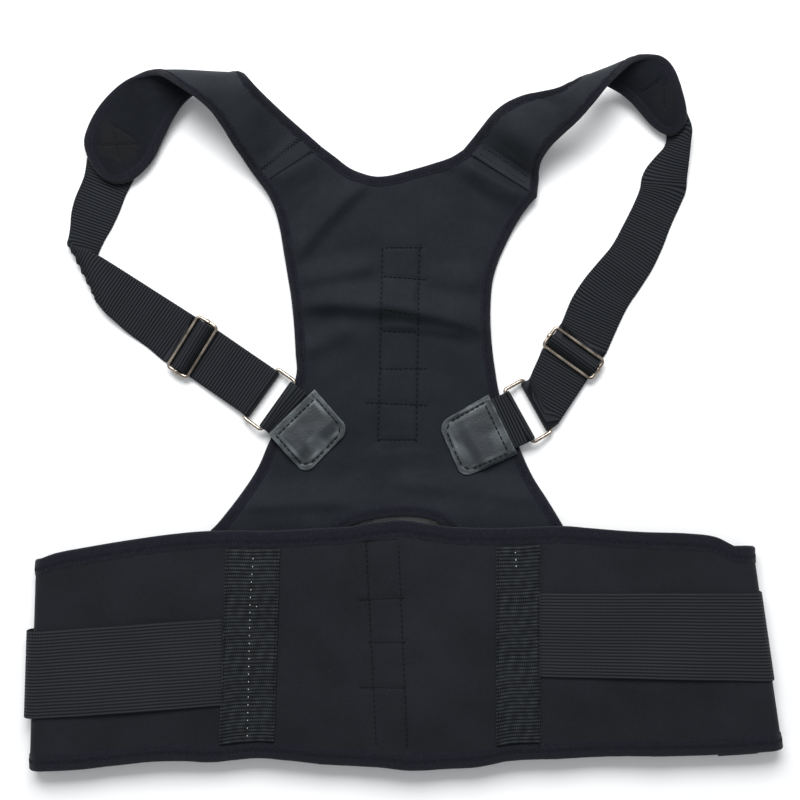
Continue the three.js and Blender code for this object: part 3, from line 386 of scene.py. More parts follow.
def rounding(d, radius=0.9, drop=0.5):
    """How far a surface sinks near its rim, at distance d from it."""
    q = 1 - clamp(d / radius, 0, 1)
    return drop * (1 - np.sqrt(np.maximum(0, 1 - q * q)))

# ---------------------------------------------------------------- meshes
def build(name, points, faces, materials, attributes=None, face_material=None, body="root"):
    """A mesh from points in millimetres and a list of index arrays; faces of one closed shell are turned outward."""
    V = np.asarray(points, float).reshape(-1, 3)
    faces = [np.asarray(f, int) for f in (faces if isinstance(faces, list) else [faces])]
    volume = 0.0
    for f in faces:
        a = V[f[:, 0]]
        for k in range(1, f.shape[1] - 1):
            volume += float((a * np.cross(V[f[:, k]], V[f[:, k + 1]])).sum()) / 6
    if volume < 0:
        faces = [f[:, ::-1] for f in faces]
    me = bpy.data.meshes.new(name)
    loops = np.concatenate([f.ravel() for f in faces])
    starts, total = [], 0
    for f in faces:
        starts.append(total + np.arange(len(f)) * f.shape[1])
        total += f.size
    starts = np.concatenate(starts)
    me.vertices.add(len(V))
    me.vertices.foreach_set("co", (V * 0.001).astype(np.float32).ravel())
    me.loops.add(len(loops))
    me.loops.foreach_set("vertex_index", loops.astype(np.int32))
    me.polygons.add(len(starts))
    me.polygons.foreach_set("loop_start", starts.astype(np.int32))
    me.update(calc_edges=True)
    me.polygons.foreach_set("use_smooth", np.ones(len(starts), bool))
    for key, values in (attributes or {}).items():
        me.attributes.new(key, "FLOAT", "POINT").data.foreach_set("value", np.asarray(values, np.float32).ravel())
    for m in materials:
        me.materials.append(m)
    if face_material is not None:
        me.polygons.foreach_set("material_index", np.asarray(face_material, np.int32))
    me.update()
    o = bpy.data.objects.new(name, me)
    scene.collection.objects.link(o)
    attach(o, body)
    return o

def shell_faces(R, C):
    """Faces of a closed body between two grids of R by C points, the upper grid first: top, bottom, rim."""
    idx = np.arange(R * C).reshape(R, C)
    a, b, c, d = idx[:-1, :-1].ravel(), idx[1:, :-1].ravel(), idx[1:, 1:].ravel(), idx[:-1, 1:].ravel()
    top = np.stack([a, b, c, d], 1)
    bottom = top[:, ::-1] + R * C
    loop = np.concatenate([idx[0, :-1], idx[:-1, -1], idx[-1, :0:-1], idx[:0:-1, 0]])
    nxt = np.roll(loop, -1)
    rim = np.stack([loop, nxt, nxt + R * C, loop + R * C], 1)
    return top, bottom, rim

def shell(name, upper, lower, materials, attributes=None, lower_material=None):
    R, C = upper.shape[:2]
    top, bottom, rim = shell_faces(R, C)
    V = np.concatenate([upper.reshape(-1, 3), lower.reshape(-1, 3)])
    attributes = {k: np.concatenate([np.broadcast_to(q, (R, C)).ravel()] * 2) for k, q in (attributes or {}).items()}
    fm = None
    if lower_material is not None:
        fm = np.concatenate([np.zeros(len(top)), np.full(len(bottom), lower_material), np.zeros(len(rim))])
    return build(name, V, [top, bottom, rim], materials, attributes, fm)

def tube(name, rings, materials, attributes=None, closed=False):
    """A body swept through rings of points, its ends capped by a fan."""
    S, K = rings.shape[:2]
    V, faces = tube_parts(rings, closed)
    extra = {}
    for k, q in (attributes or {}).items():
        q = np.broadcast_to(q, (S, K)).reshape(-1)
        extra[k] = q if closed else np.concatenate([q, [q[0], q[-1]]])
    return build(name, V, faces, materials, extra)

def tube_parts(rings, closed=False):
    S, K = rings.shape[:2]
    idx = np.arange(S * K).reshape(S, K)
    nxt = np.roll(idx, -1, 1)
    if closed:
        a, b = idx, np.roll(idx, -1, 0)
        c, d = np.roll(nxt, -1, 0), nxt
    else:
        a, b, c, d = idx[:-1], idx[1:], nxt[1:], nxt[:-1]
    quads = np.stack([a.ravel(), b.ravel(), c.ravel(), d.ravel()], 1)
    V = rings.reshape(-1, 3)
    if closed:
        return V, [quads]
    V = np.concatenate([V, rings[:1].mean(1), rings[-1:].mean(1)])
    first = np.stack([idx[0], nxt[0], np.full(K, S * K)], 1)
    last = np.stack([idx[-1], np.full(K, S * K + 1), nxt[-1]], 1)
    return V, [quads, first, last]

def join_parts(parts):
    """Several shells as one set of points and faces."""
    V, quads, tris, n = [], [], [], 0
    for pts, faces in parts:
        V.append(pts)
        for f in faces:
            (quads if f.shape[1] == 4 else tris).append(f + n)
        n += len(pts)
    out = [np.concatenate(quads)]
    if tris:
        out.append(np.concatenate(tris))
    return np.concatenate(V), out

def spaced(points, step):
    """Fractional indices that lie a step apart along a polyline."""
    d = np.concatenate([[0], np.cumsum(np.linalg.norm(np.diff(points, axis=0), axis=1))])
    n = max(2, int(round(d[-1] / step)) + 1)
    return np.interp(np.linspace(0, d[-1], n), d, np.arange(len(d))), d[-1]

def pick(values, at):
    values = np.asarray(values, float)
    i = np.clip(np.floor(at).astype(int), 0, len(values) - 2)
    f = (at - i).reshape((-1,) + (1,) * (values.ndim - 1))
    return values[i] * (1 - f) + values[i + 1] * f

def puffed(name, top, bottom, held, cap, cells, pressure=4.0, frames=20):
    """A coarse copy of a pad is blown up as cloth, held at its sewn places; its moves are carried over to the fine grids."""
    R, C = top.shape[:2]
    r, c = (np.unique(np.linspace(0, n - 1, m).round().astype(int)) for n, m in ((R, cells[0]), (C, cells[1])))
    pts = np.concatenate([g[np.ix_(r, c)].reshape(-1, 3) for g in (top, bottom)])
    faces = np.concatenate(shell_faces(len(r), len(c)))
    a, b, d, e = (pts[faces[:, k]] for k in range(4))
    if float((a * np.cross(b, d)).sum() + (a * np.cross(d, e)).sum()) < 0:
        faces = faces[:, ::-1]
    me = bpy.data.meshes.new(name)
    me.from_pydata((pts * 0.001).tolist(), [], faces.tolist())
    o = bpy.data.objects.new(name, me)
    scene.collection.objects.link(o)
    h = held[np.ix_(r, c)].copy()
    h[0], h[-1], h[:, 0], h[:, -1] = True, True, True, True
    group = o.vertex_groups.new(name="held")
    group.add([int(k) for k in np.nonzero(np.concatenate([h.ravel(), h.ravel()]))[0]], 1.0, "REPLACE")
    cloth = o.modifiers.new("cloth", "CLOTH")
    q = cloth.settings
    q.quality, q.vertex_group_mass, q.use_pressure, q.uniform_pressure_force = 6, "held", True, pressure
    q.effector_weights.gravity = 0.0
    cloth.collision_settings.use_collision = False
    cloth.point_cache.frame_start, cloth.point_cache.frame_end = 1, frames
    for f in range(1, frames + 1):
        scene.frame_set(f)
    ready = o.evaluated_get(bpy.context.evaluated_depsgraph_get())
    out = np.empty(len(pts) * 3, np.float32)
    ready.data.vertices.foreach_get("co", out)
    move = out.reshape(-1, 3) * 1000.0 - pts
    bpy.data.objects.remove(o)
    scene.frame_set(1)
    size = np.linalg.norm(move, axis=1)
    print("cloth", name, "largest move mm", round(float(size.max()), 2), "mean", round(float(size.mean()), 2))
    move = move * (cap / np.maximum(size + cap, 1e-9))[:, None]
    fine = []
    for g, m in zip((top, bottom), np.split(move, 2)):
        m = m.reshape(len(r), len(c) * 3)
        m = along(m, np.interp(np.arange(R), r, np.arange(len(r)))).reshape(R, len(c), 3).transpose(1, 0, 2).reshape(len(c), R * 3)
        m = along(m, np.interp(np.arange(C), c, np.arange(len(c)))).reshape(C, R, 3).transpose(1, 0, 2)
        fine.append(g + m)
    return fine

# ---------------------------------------------------------------- threads
def stitches(name, p0, p1, normal, radius, material, sides=5, arch=0.22):
    """Many short threads as one mesh, each a small grain whose ends dip into the cloth."""
    p0, p1, normal = (np.asarray(q, float).reshape(-1, 3) for q in (p0, p1, normal))
    d = unit(p1 - p0)
    n = unit(normal - (normal * d).sum(1, keepdims=True) * d)
    b = np.cross(d, n)
    stations = [(0.0, 0.45, -0.25), (0.22, 1.0, 0.5), (0.78, 1.0, 0.5), (1.0, 0.45, -0.25)]
    a = 2 * math.pi * np.arange(sides) / sides
    rings = []
    for f, r, h in stations:
        c = p0 + (p1 - p0) * f + n * (h * arch)
        rings.append(c[:, None] + radius * r * (np.cos(a)[None, :, None] * b[:, None] + np.sin(a)[None, :, None] * n[:, None]))
    rings = np.stack(rings, 1)
    N, S, K = rings.shape[:3]
    idx = np.arange(N * S * K).reshape(N, S, K)
    nxt = np.roll(idx, -1, 2)
    quads = np.stack([idx[:, :-1].ravel(), idx[:, 1:].ravel(), nxt[:, 1:].ravel(), nxt[:, :-1].ravel()], 1)
    caps = np.concatenate([idx[:, 0], idx[:, -1][:, ::-1]])
    if caps.shape[1] == 4:
        faces = [np.concatenate([quads, caps])]
    else:
        faces = [quads, caps]
    return build(name, rings.reshape(-1, 3), faces, [material])

def run_of(surface, path, pitch, length, jitter=0.0, seed=3):
    """Ends and normals of stitches in a row along a path given in a surface's own two coordinates."""
    dense = np.stack([np.interp(np.linspace(0, len(path) - 1, 400), np.arange(len(path)), np.asarray(path, float)[:, k]) for k in (0, 1)], 1)
    pts = surface(dense[:, 0], dense[:, 1], 0.0)
    d = np.concatenate([[0], np.cumsum(np.linalg.norm(np.diff(pts, axis=0), axis=1))])
    n = max(1, int(d[-1] / pitch))
    start = (d[-1] - n * pitch) / 2 + np.arange(n) * pitch + (pitch - length) / 2
    rng = np.random.RandomState(seed)
    out = []
    for q in (start, start + length):
        i = np.interp(q, d, np.arange(len(d)))
        ab = pick(dense, i)
        if jitter:
            ab = ab + rng.uniform(-jitter, jitter, ab.shape)
        out.append((surface(ab[:, 0], ab[:, 1], 0.0), surface(ab[:, 0], ab[:, 1], 1.0) - surface(ab[:, 0], ab[:, 1], 0.0)))
    return out[0][0], out[1][0], out[0][1]

def zigzag(surface, outer, inner, width, q0, q1, pitch):
    """Ends and normals of a zigzag between two distances from the outer line of a bound edge."""
    mid = mix(outer, inner, 0.6)
    at, _ = spaced(surface(mid[:, 0], mid[:, 1], 0.0), pitch / 2)
    o, i = pick(outer, at), pick(inner, at)
    k = np.where(np.arange(len(at)) % 2 == 0, q0, q1) / width
    ab = o + (i - o) * k[:, None]
    p = surface(ab[:, 0], ab[:, 1], 0.0)
    n = surface(ab[:, 0], ab[:, 1], 1.0) - p
    return p[:-1], p[1:], n[:-1]

def gather(runs):
    return [np.concatenate([r[k] for r in runs]) for k in range(3)]

# ---------------------------------------------------------------- materials
def srgb(r, g, b):
    return tuple(((c / 255) / 12.92 if c / 255 <= 0.04045 else ((c / 255 + 0.055) / 1.055) ** 2.4) for c in (r, g, b)) + (1.0,)

class Look:
    """A node material: helpers that add one node each and link it."""
    def __init__(self, name, roughness=0.8, specular=0.2, metallic=0.0, sheen=0.0, sheen_roughness=0.5, coat=0.0):
        self.m = bpy.data.materials.new(name)
        self.m.use_nodes = True
        self.t = self.m.node_tree
        self.b = self.t.nodes["Principled BSDF"]
        for key, value in (("Roughness", roughness), ("Specular IOR Level", specular), ("Metallic", metallic),
                           ("Sheen Weight", sheen), ("Sheen Roughness", sheen_roughness), ("Coat Weight", coat)):
            self.b.inputs[key].default_value = value
        self.place = self.node("ShaderNodeTexCoord").outputs["Object"]
    def node(self, kind, **settings):
        n = self.t.nodes.new(kind)
        for k, q in settings.items():
            setattr(n, k, q)
        return n
    def link(self, a, b):
        self.t.links.new(a, b)
    def noise(self, scale, detail=3.0, roughness=0.55, vector=None, stretch=None):
        v = vector or self.place
        if stretch:
            mp = self.node("ShaderNodeMapping")
            mp.inputs["Scale"].default_value = stretch
            self.link(v, mp.inputs["Vector"])
            v = mp.outputs["Vector"]
        n = self.node("ShaderNodeTexNoise")
        n.inputs["Scale"].default_value, n.inputs["Detail"].default_value, n.inputs["Roughness"].default_value = scale, detail, roughness
        self.link(v, n.inputs["Vector"])
        return n.outputs["Fac"]
    def voronoi(self, scale, feature="F1"):
        n = self.node("ShaderNodeTexVoronoi", feature=feature)
        n.inputs["Scale"].default_value = scale
        self.link(self.place, n.inputs["Vector"])
        return n.outputs["Distance"]
    def attribute(self, name):
        return self.node("ShaderNodeAttribute", attribute_name=name).outputs["Fac"]
    def math(self, op, a, b=None, c=None):
        n = self.node("ShaderNodeMath", operation=op)
        for i, q in enumerate((a, b, c)):
            if q is None:
                continue
            if isinstance(q, (int, float)):
                n.inputs[i].default_value = q
            else:
                self.link(q, n.inputs[i])
        return n.outputs[0]
    def ramp(self, fac, stops):
        n = self.node("ShaderNodeValToRGB")
        e = n.color_ramp.elements
        while len(e) > len(stops):
            e.remove(e[-1])
        while len(e) < len(stops):
            e.new(0.5)
        for el, (at, col) in zip(e, stops):
            el.position, el.color = at, col
        self.link(fac, n.inputs["Fac"])
        return n.outputs["Color"]
    def blend(self, fac, a, b, mode="MIX"):
        n = self.node("ShaderNodeMix", data_type="RGBA", blend_type=mode)
        for sock, q in ((n.inputs[0], fac), (n.inputs[6], a), (n.inputs[7], b)):
            if isinstance(q, (int, float, tuple)):
                sock.default_value = q
            else:
                self.link(q, sock)
        return n.outputs[2]
    def colour(self, c):
        self.link(c, self.b.inputs["Base Color"])
    def rough(self, fac, low, high):
        n = self.node("ShaderNodeMapRange")
        n.inputs["To Min"].default_value, n.inputs["To Max"].default_value = low, high
        self.link(fac, n.inputs["Value"])
        self.link(n.outputs[0], self.b.inputs["Roughness"])
    def bumps(self, layers):
        """Layers of (height, distance in metres, strength)."""
        previous = None
        for height, distance, strength in layers:
            n = self.node("ShaderNodeBump")
            n.inputs["Distance"].default_value, n.inputs["Strength"].default_value = distance, strength
            self.link(height, n.inputs["Height"])
            if previous is not None:
                self.link(previous, n.inputs["Normal"])
            previous = n.outputs["Normal"]
        self.link(previous, self.b.inputs["Normal"])

def tint(c, k):
    return (c[0] * k, c[1] * k, c[2] * k, 1.0)

def cloth_look(name, base, seed_scale=38, specular=0.16, sheen=0.10, roughness=(0.62, 0.78), patch=None):
    """Smooth fine knit over foam: tiny stitches, soft patches of nap, a faint satin."""
    L = Look(name, specular=specular, sheen=sheen)
    nap, grain = L.noise(seed_scale, 4.0, 0.6), L.noise(1500, 2.0, 0.7)
    w1 = L.noise(900, 1.0, 0.4, stretch=(1.0, 0.28, 1.0))
    c = L.ramp(nap, [(0.25, tint(base, 0.64)), (0.52, base), (0.78, tint(base, 1.42))])
    c = L.blend(L.math("MULTIPLY", L.math("POWER", grain, 3.0), 1.6), c, tint(base, 2.3), "MIX")
    # painted highlight: the patch mask lightens the colour on each lobe's raised patch
    if patch:
        c = L.blend(L.math("MULTIPLY", L.attribute("patch"), 0.8), c, patch)
    L.colour(c)
    L.rough(L.noise(220, 3.0), *roughness)
    L.bumps([(L.noise(14, 3.0, 0.5), 0.0016, 0.25), (w1, 0.00035, 0.55), (grain, 0.00022, 0.6)])
    return L.m

def binding_look(name, base):
    """Fluffy elastic tape folded over an edge: short nap and fine cross cords."""
    L = Look(name, specular=0.05, sheen=0.09, sheen_roughness=0.6)
    fluff, cords = L.noise(620, 4.0, 0.75), L.noise(95, 3.0, 0.6)
    c = L.ramp(fluff, [(0.3, tint(base, 0.55)), (0.52, base), (0.72, tint(base, 1.9))])
    c = L.blend(L.math("MULTIPLY", cords, 0.5), c, tint(base, 0.7))
    L.colour(c)
    L.rough(fluff, 0.78, 0.95)
    L.bumps([(cords, 0.0006, 0.4), (fluff, 0.0004, 0.7)])
    return L.m

def ribbed_look(name, groove, crest, fine=0.62, specular=0.28, threads=0.5, dark=0.30):
    """Woven tape: rib height comes with the mesh, fine warp threads run over the ribs; the colour paints shade into the
    grooves and between the threads, and the reflection is weakened in the grooves as painted shade.
    """
    L = Look(name, specular=specular, sheen=0.03)
    rib, side = L.attribute("rib"), L.attribute("side")
    thread = L.math("ABSOLUTE", L.math("SINE", L.math("MULTIPLY", side, math.pi / fine)))
    wander = L.noise(60, 3.0, 0.6)
    # painted shade: colour runs from dark in the grooves to lighter on the crests
    c = L.ramp(rib, [(dark, groove), (0.72, mix4(groove, crest, 0.42)), (1.0, crest)])
    # painted shade in the gaps between the fine threads
    c = L.blend(L.math("MULTIPLY", L.math("SUBTRACT", 1.0, thread), threads), c, tint(groove, 0.8))
    c = L.blend(L.math("MULTIPLY", wander, 0.5), c, tint(crest, 0.4))
    L.colour(c)
    L.rough(wander, 0.5, 0.72)
    # painted shade: less reflection in the grooves
    L.link(L.math("MULTIPLY", rib, specular), L.b.inputs["Specular IOR Level"])
    L.bumps([(thread, 0.00018, 0.6), (L.noise(1900, 2.0, 0.6), 0.0001, 0.4)])
    return L.m

def mix4(a, b, t):
    return tuple(a[k] * (1 - t) + b[k] * t for k in range(3)) + (1.0,)

def leather_look(name, base, pale):
    """Coated leather: pebbled grain, soft gloss, rubbed pale towards its edges and over its raised middle."""
    L = Look(name, specular=0.4, coat=0.05)
    grain, cloud, wear = L.voronoi(780, "SMOOTH_F1"), L.noise(70, 4.0, 0.65), L.attribute("wear")
    worn = L.math("MULTIPLY", wear, L.math("ADD", 0.35, cloud))
    c = L.ramp(cloud, [(0.3, tint(base, 0.75)), (0.6, base), (0.8, tint(base, 1.35))])
    c = L.blend(worn, c, pale)
    L.colour(c)
    L.rough(cloud, 0.46, 0.6)
    L.bumps([(L.noise(55, 2.0, 0.5), 0.0012, 0.3), (grain, 0.0003, 0.55), (L.noise(2200, 2.0, 0.6), 0.00008, 0.4)])
    return L.m

def metal_look(name, base):
    L = Look(name, metallic=1.0, specular=0.5)
    streak, cloud = L.noise(1400, 2.0, 0.6, stretch=(1.0, 1.0, 6.0)), L.noise(120, 4.0, 0.6)
    L.colour(L.ramp(cloud, [(0.35, tint(base, 0.5)), (0.6, base), (0.85, tint(base, 1.25))]))
    L.rough(cloud, 0.16, 0.34)
    L.bumps([(streak, 0.00004, 0.5), (cloud, 0.0001, 0.25)])
    return L.m

def thread_look(name, base):
    L = Look(name, roughness=0.7, specular=0.2)
    twist = L.noise(2600, 2.0, 0.5)
    L.colour(L.ramp(twist, [(0.35, tint(base, 0.6)), (0.65, tint(base, 1.3))]))
    L.bumps([(twist, 0.0001, 0.6)])
    return L.m

PADDED = cloth_look("padded_cloth_outer", srgb(21, 24, 28), specular=0.08, sheen=0.04)
STRAP_CLOTH = cloth_look("padded_cloth_strap", srgb(27, 30, 34), specular=0.09, sheen=0.04)
# its patch colour is the painted highlight of the raised patch on each lobe
INNER = cloth_look("padded_cloth_inner", srgb(17, 19, 23), specular=0.04, sheen=0.02, patch=srgb(26, 26, 28))
BELT_CLOTH = cloth_look("padded_cloth_belt", srgb(22, 23, 27), seed_scale=22, specular=0.08, sheen=0.04)
BINDING = binding_look("bound_edge", srgb(20, 21, 29))
# woven looks: the first colour is painted shade for the grooves, the second the crests
WEBBING = ribbed_look("ribbed_webbing", srgb(4, 4, 6), srgb(44, 47, 52), specular=0.10, fine=1.2, threads=0.55, dark=0.22)
LOOPS = ribbed_look("loop_webbing", srgb(3, 3, 5), srgb(48, 51, 55), specular=0.10)
ELASTIC = ribbed_look("ribbed_elastic", srgb(15, 16, 19), srgb(50, 52, 56), fine=1.2, specular=0.10, threads=0.5, dark=0.12)
STRIP = ribbed_look("woven_strip", srgb(3, 3, 4), srgb(62, 66, 70), fine=1.4, specular=0.12, threads=0.9, dark=0.25)
LEATHER = leather_look("coated_leather", srgb(40, 45, 49), srgb(100, 106, 109))
METAL = metal_look("plated_wire", srgb(170, 158, 145))
THREAD = thread_look("sewing_thread", srgb(6, 7, 9))
TAPE_THREAD = thread_look("binding_thread", srgb(21, 22, 29))
# also paints the shade of the step at each strap's seam as a row of dark thread
SEAM_THREAD_AND_SHADE = thread_look("seam_thread_and_shade", srgb(14, 16, 19))
# painted glints: small bright specks on the strips, drawn as short threads
GLINT = thread_look("painted_glint", srgb(190, 193, 190))

# ---------------------------------------------------------------- back panel surface
def to_segment(x, y, ax, ay, bx, by):
    dx, dy = bx - ax, by - ay
    t = clamp(((x - ax) * dx + (y - ay) * dy) / (dx * dx + dy * dy), 0, 1)
    return np.hypot(x - ax - t * dx, y - ay - t * dy), t

def row_groove(x, y, rows, depth=0.55, half=1.1):
    g = np.zeros(np.broadcast(x, y).shape)
    for ax, ay, bx, by in rows:
        d, _ = to_segment(x, y, ax, ay, bx, by)
        g = np.maximum(g, np.exp(-(d / half) ** 2))
    return -depth * g

def panel_base(x, y):
    h = PANEL_REST + 7.8 * smooth((-38 - y) / 40)
    for strap in (STRAP_LEFT, STRAP_RIGHT):
        d, _ = to_segment(x, y, strap[0][0], strap[0][1], strap[0][3], strap[0][4])
        h = h + 3.4 * (1 - smooth(d / 40))
    return h

def panel_folds(x, y):
    h = np.zeros(np.broadcast(x, y).shape)
    for ax, ay, bx, by, height, left, right, bow in PANEL_FOLDS:
        dx, dy = bx - ax, by - ay
        L = math.hypot(dx, dy)
        t = ((x - ax) * dx + (y - ay) * dy) / L ** 2
        side = ((y - ay) * dx - (x - ax) * dy) / L - bow * 4 * clamp(t, 0, 1) * (1 - clamp(t, 0, 1))
        w = np.where(side > 0, left, right)
        ends = smooth((t + 0.12) / 0.3) * smooth((1.12 - t) / 0.3)
        h = h + height * np.exp(-(side / w) ** 2) * ends
    return h

def panel_height(x, y):
    h = panel_base(x, y) + panel_folds(x, y) + 0.35 * ripple(x, y, 46, 11) * smooth((y + 60) / 30)
    # the channel stands a little proud between its rows of stitches
    inside = smooth((x + 18) / 6) * smooth((12 - x) / 6) * smooth((y + 22) / 6) * smooth((118 - y) / 6)
    return np.maximum(h + 0.45 * inside, 0.35)

def on_panel(x, y, n):
    return xyz(x, y, panel_height(x, y) + n)

def inset(rows, s, width, side, start, end):
    last = len(rows) - 1
    p, a, b = along(rows, s), along(rows, np.maximum(0, s - 0.05)), along(rows, np.minimum(last, s + 0.05))
    t = unit(b - a)
    n = np.stack([-t[..., 1] * side, t[..., 0] * side], -1)
    k0, k1 = (1 - smooth(s / 1.2))[..., None], (1 - smooth((last - s) / 1.2))[..., None]
    n = n * (1 - k0) + np.asarray(start) * k0
    n = n * (1 - k1) + np.asarray(end) * k1
    return p + unit(n) * np.asarray(width)[..., None]

def seam_dir(strap, from_b):
    a, b = np.array(strap[0][0:2]), np.array(strap[0][3:5])
    return unit(a - b) if from_b else unit(b - a)

EDGES = {
    "left": (SIDE_LEFT, -1, (1, 0), seam_dir(STRAP_LEFT, True)),
    "right": (SIDE_RIGHT, 1, (-1, 0), seam_dir(STRAP_RIGHT, True)),
    "neck": (NECKLINE, -1, seam_dir(STRAP_LEFT, False), seam_dir(STRAP_RIGHT, False)),
    "arch": (ARCH_EDGE, 1, (-1, 0), (1, 0)),
}

def inset_of(key, s, width):
    rows, side, d0, d1 = EDGES[key]
    s = np.asarray(s, float)
    return inset(rows, s, np.full(s.shape, float(width)), side, d0, d1)

# ---------------------------------------------------------------- bound edges
def binding(name, surface, outer, inner, width, thick, wall, mid=0.0, node=None, step=0.8):
    """Tape folded over an edge: a flattened round outside, a lip that meets the cloth inside."""
    at, length = spaced(surface(outer[:, 0], outer[:, 1], mid), step)
    o, i = pick(outer, at), pick(inner, at)
    S = len(at)
    half, lip = thick / 2, wall / 2 - 0.15
    q, n = [], []
    for a in np.radians([-84, -60, -36, -12, 12, 36, 60, 84]):
        q.append(half * 0.92 * (1 - math.cos(a)))
        n.append(half * math.sin(a))
    for f, h in ((0.42, 1.05), (0.58, 0.98), (0.72, 1.04), (0.86, 0.98), (0.95, 0.86)):
        q.append(width * f)
        n.append(half * h)
    q.append(width); n.append(lip)
    q.append(width); n.append(-lip)
    for f, h in ((0.95, -0.86), (0.8, -0.97), (0.5, -1.0)):
        q.append(width * f)
        n.append(half * h)
    q, n = np.array(q), np.array(n)
    run = np.arange(S) * length / (S - 1)
    k = (q / width)[None, :, None]
    ab = o[:, None] * (1 - k) + i[:, None] * k
    soft = 0.16 * ripple(run[:, None], q[None, :] * 2, 9, 21) + 0.10 * ripple(run[:, None], q[None, :], 3.4, 22)
    zig = np.cos(2 * math.pi * run / 2.6)
    pinch = 0.32 * np.exp(-((q[None, :] / width - 0.58 - 0.13 * zig[:, None]) / 0.10) ** 2)
    hh = mid + n[None, :] + np.where(n[None, :] > 0, 1, 0) * (soft - pinch) * np.where(q[None, :] < width * 0.97, 1, 0)
    rings = surface(ab[..., 0], ab[..., 1], hh)
    o_ = tube(name, rings, [BINDING])
    if node:
        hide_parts(node)
    zz = zigzag(lambda a, b, m: surface(a, b, m + mid + half + 0.02), outer, inner, width, width * 0.44, width * 0.72, 2.6)
    return o_, zz

# ---------------------------------------------------------------- bands given by two edges
def band(rows, up):
    rows = np.asarray(rows, float)
    last = len(rows) - 1
    def flat(s, t):
        r = along(rows, s)
        return r[..., 0:3] * (1 - t[..., None]) + r[..., 3:6] * t[..., None], r[..., 6]
    def frame_of(point, s, t):
        e = 0.02
        ds = point(np.minimum(last, s + e), t) - point(np.maximum(0, s - e), t)
        dt = point(s, np.minimum(1, t + e)) - point(s, np.maximum(0, t - e))
        return unit(np.cross(ds, dt)) * up
    bare = lambda s, t: flat(s, t)[0]
    def crowned(s, t):
        p, crown = flat(s, t)
        return p + frame_of(bare, s, t) * (crown * 4 * t * (1 - t))[..., None]
    def surface(s, t, n):
        s, t, n = np.broadcast_arrays(np.asarray(s, float), np.asarray(t, float), np.asarray(n, float))
        return crowned(s, t) + frame_of(crowned, s, t) * n[..., None]
    return surface

def width_at(rows, s):
    r = along(rows, s)
    return np.linalg.norm(r[..., 0:3] - r[..., 3:6], axis=-1)

def eased(rows, passes=1):
    """Rows with the small unevenness of their edges taken out; the first and last two stay."""
    r = np.array(rows, float)
    for _ in range(passes):
        q = r.copy()
        q[2:-2] = 0.25 * r[1:-3] + 0.5 * r[2:-2] + 0.25 * r[3:-1]
        r = q
    return r

# ---------------------------------------------------------------- hardware frames
def direction(deg):
    return np.array([math.cos(math.radians(deg)), math.sin(math.radians(deg)), 0.0])

HW = {k: dict(c=np.array([x, y, 0.0]), d=direction(a), e=direction(b)) for k, (x, y, a, b) in HARDWARE.items()}

def station(f, d, z, half=WEBBING_WIDTH / 2):
    p = f["c"] + f["d"] * d
    a, b = p + f["e"] * half, p - f["e"] * half
    return [a[0], a[1], z, b[0], b[1], z, 0]

def ribbed(name, rows, up, thick, material, pitch=RIB_PITCH, depth=0.40, step=0.35, uneven=0.0, seed=5):
    """A woven band through rows of sections; its ribs lie square across the way it runs, also where the rows lie askew."""
    surface, last = band(rows, up), len(rows) - 1
    dense = np.linspace(0, last, 4000)
    r = along(rows, dense)
    A, B = r[:, 0:3], r[:, 3:6]
    mid = (A + B) / 2
    d = unit(np.gradient(mid, axis=0))
    run = np.concatenate([[0], np.cumsum(np.linalg.norm(np.diff(mid, axis=0), axis=1))])
    skew = ((B - A) * d).sum(1)
    kernel = np.exp(-np.linspace(-2, 2, 81) ** 2)
    kernel /= kernel.sum()
    skew = np.convolve(np.pad(skew, 40, mode="edge"), kernel, mode="valid")
    W = float(np.median(np.linalg.norm(np.cross(B - A, d), axis=1)))
    section = [(0.012, 0.86), (0.045, 1), (0.16, 1), (0.33, 1), (0.5, 1), (0.67, 1), (0.84, 1), (0.955, 1), (0.988, 0.86),
               (1.0, 0.4), (1.004, 0), (1.0, -0.4),
               (0.988, -0.86), (0.955, -1), (0.84, -1), (0.67, -1), (0.5, -1), (0.33, -1), (0.16, -1), (0.045, -1), (0.012, -0.86),
               (0.0, -0.4), (-0.004, 0), (0.0, 0.4)]
    T, H = np.array([q[0] for q in section]), np.array([q[1] for q in section])
    lo, hi = (run[0] - abs(skew[0]) / 2), (run[-1] + abs(skew[-1]) / 2)
    ell = np.arange(lo, hi + step, step)
    S = np.empty((len(ell), len(T)))
    for k, t in enumerate(np.clip(T, 0, 1)):
        line = np.maximum.accumulate(run + skew * (t - 0.5)) + np.arange(len(run)) * 1e-7
        S[:, k] = np.interp(ell, line, dense)
    phase = ell / pitch + uneven * ripple(ell, ell * 0, 30, seed)
    rib = np.abs(np.sin(math.pi * phase)) ** 0.7
    edge = 0.5 + 0.5 * rib
    tt = T[None, :] + np.where(T[None, :] > 0.5, 1, -1) * (np.abs(T[None, :] - 0.5) > 0.49) * (edge[:, None] - 0.6) * 0.55 / W
    hh = H[None, :] * (thick / 2 + depth * (rib[:, None] - 0.62))
    core = surface(S, np.clip(tt, 0, 1), hh)
    a, b = surface(S, np.zeros_like(S), 0 * S), surface(S, np.ones_like(S), 0 * S)
    core = core + (b - a) * (tt - np.clip(tt, 0, 1))[..., None]
    return tube(name, core, [material], {"rib": np.broadcast_to(rib[:, None], S.shape), "run": np.broadcast_to(ell[:, None], S.shape),
                                         "side": np.broadcast_to(T[None, :] * W, S.shape)}), surface

zigzags = {"panel": [], "strap_left": [], "strap_right": [], "belt": []}
made = {}

def inside_of(corners, x, y, soft):
    """1 inside a shape whose corners go clockwise, fading out over its edges."""
    d = np.full(np.broadcast(x, y).shape, 1e9)
    for (ax, ay), (bx, by) in zip(corners, corners[1:] + corners[:1]):
        L = math.hypot(bx - ax, by - ay)
        d = np.minimum(d, ((x - ax) * (by - ay) - (y - ay) * (bx - ax)) / L)
    return smooth(d / soft + 0.5)

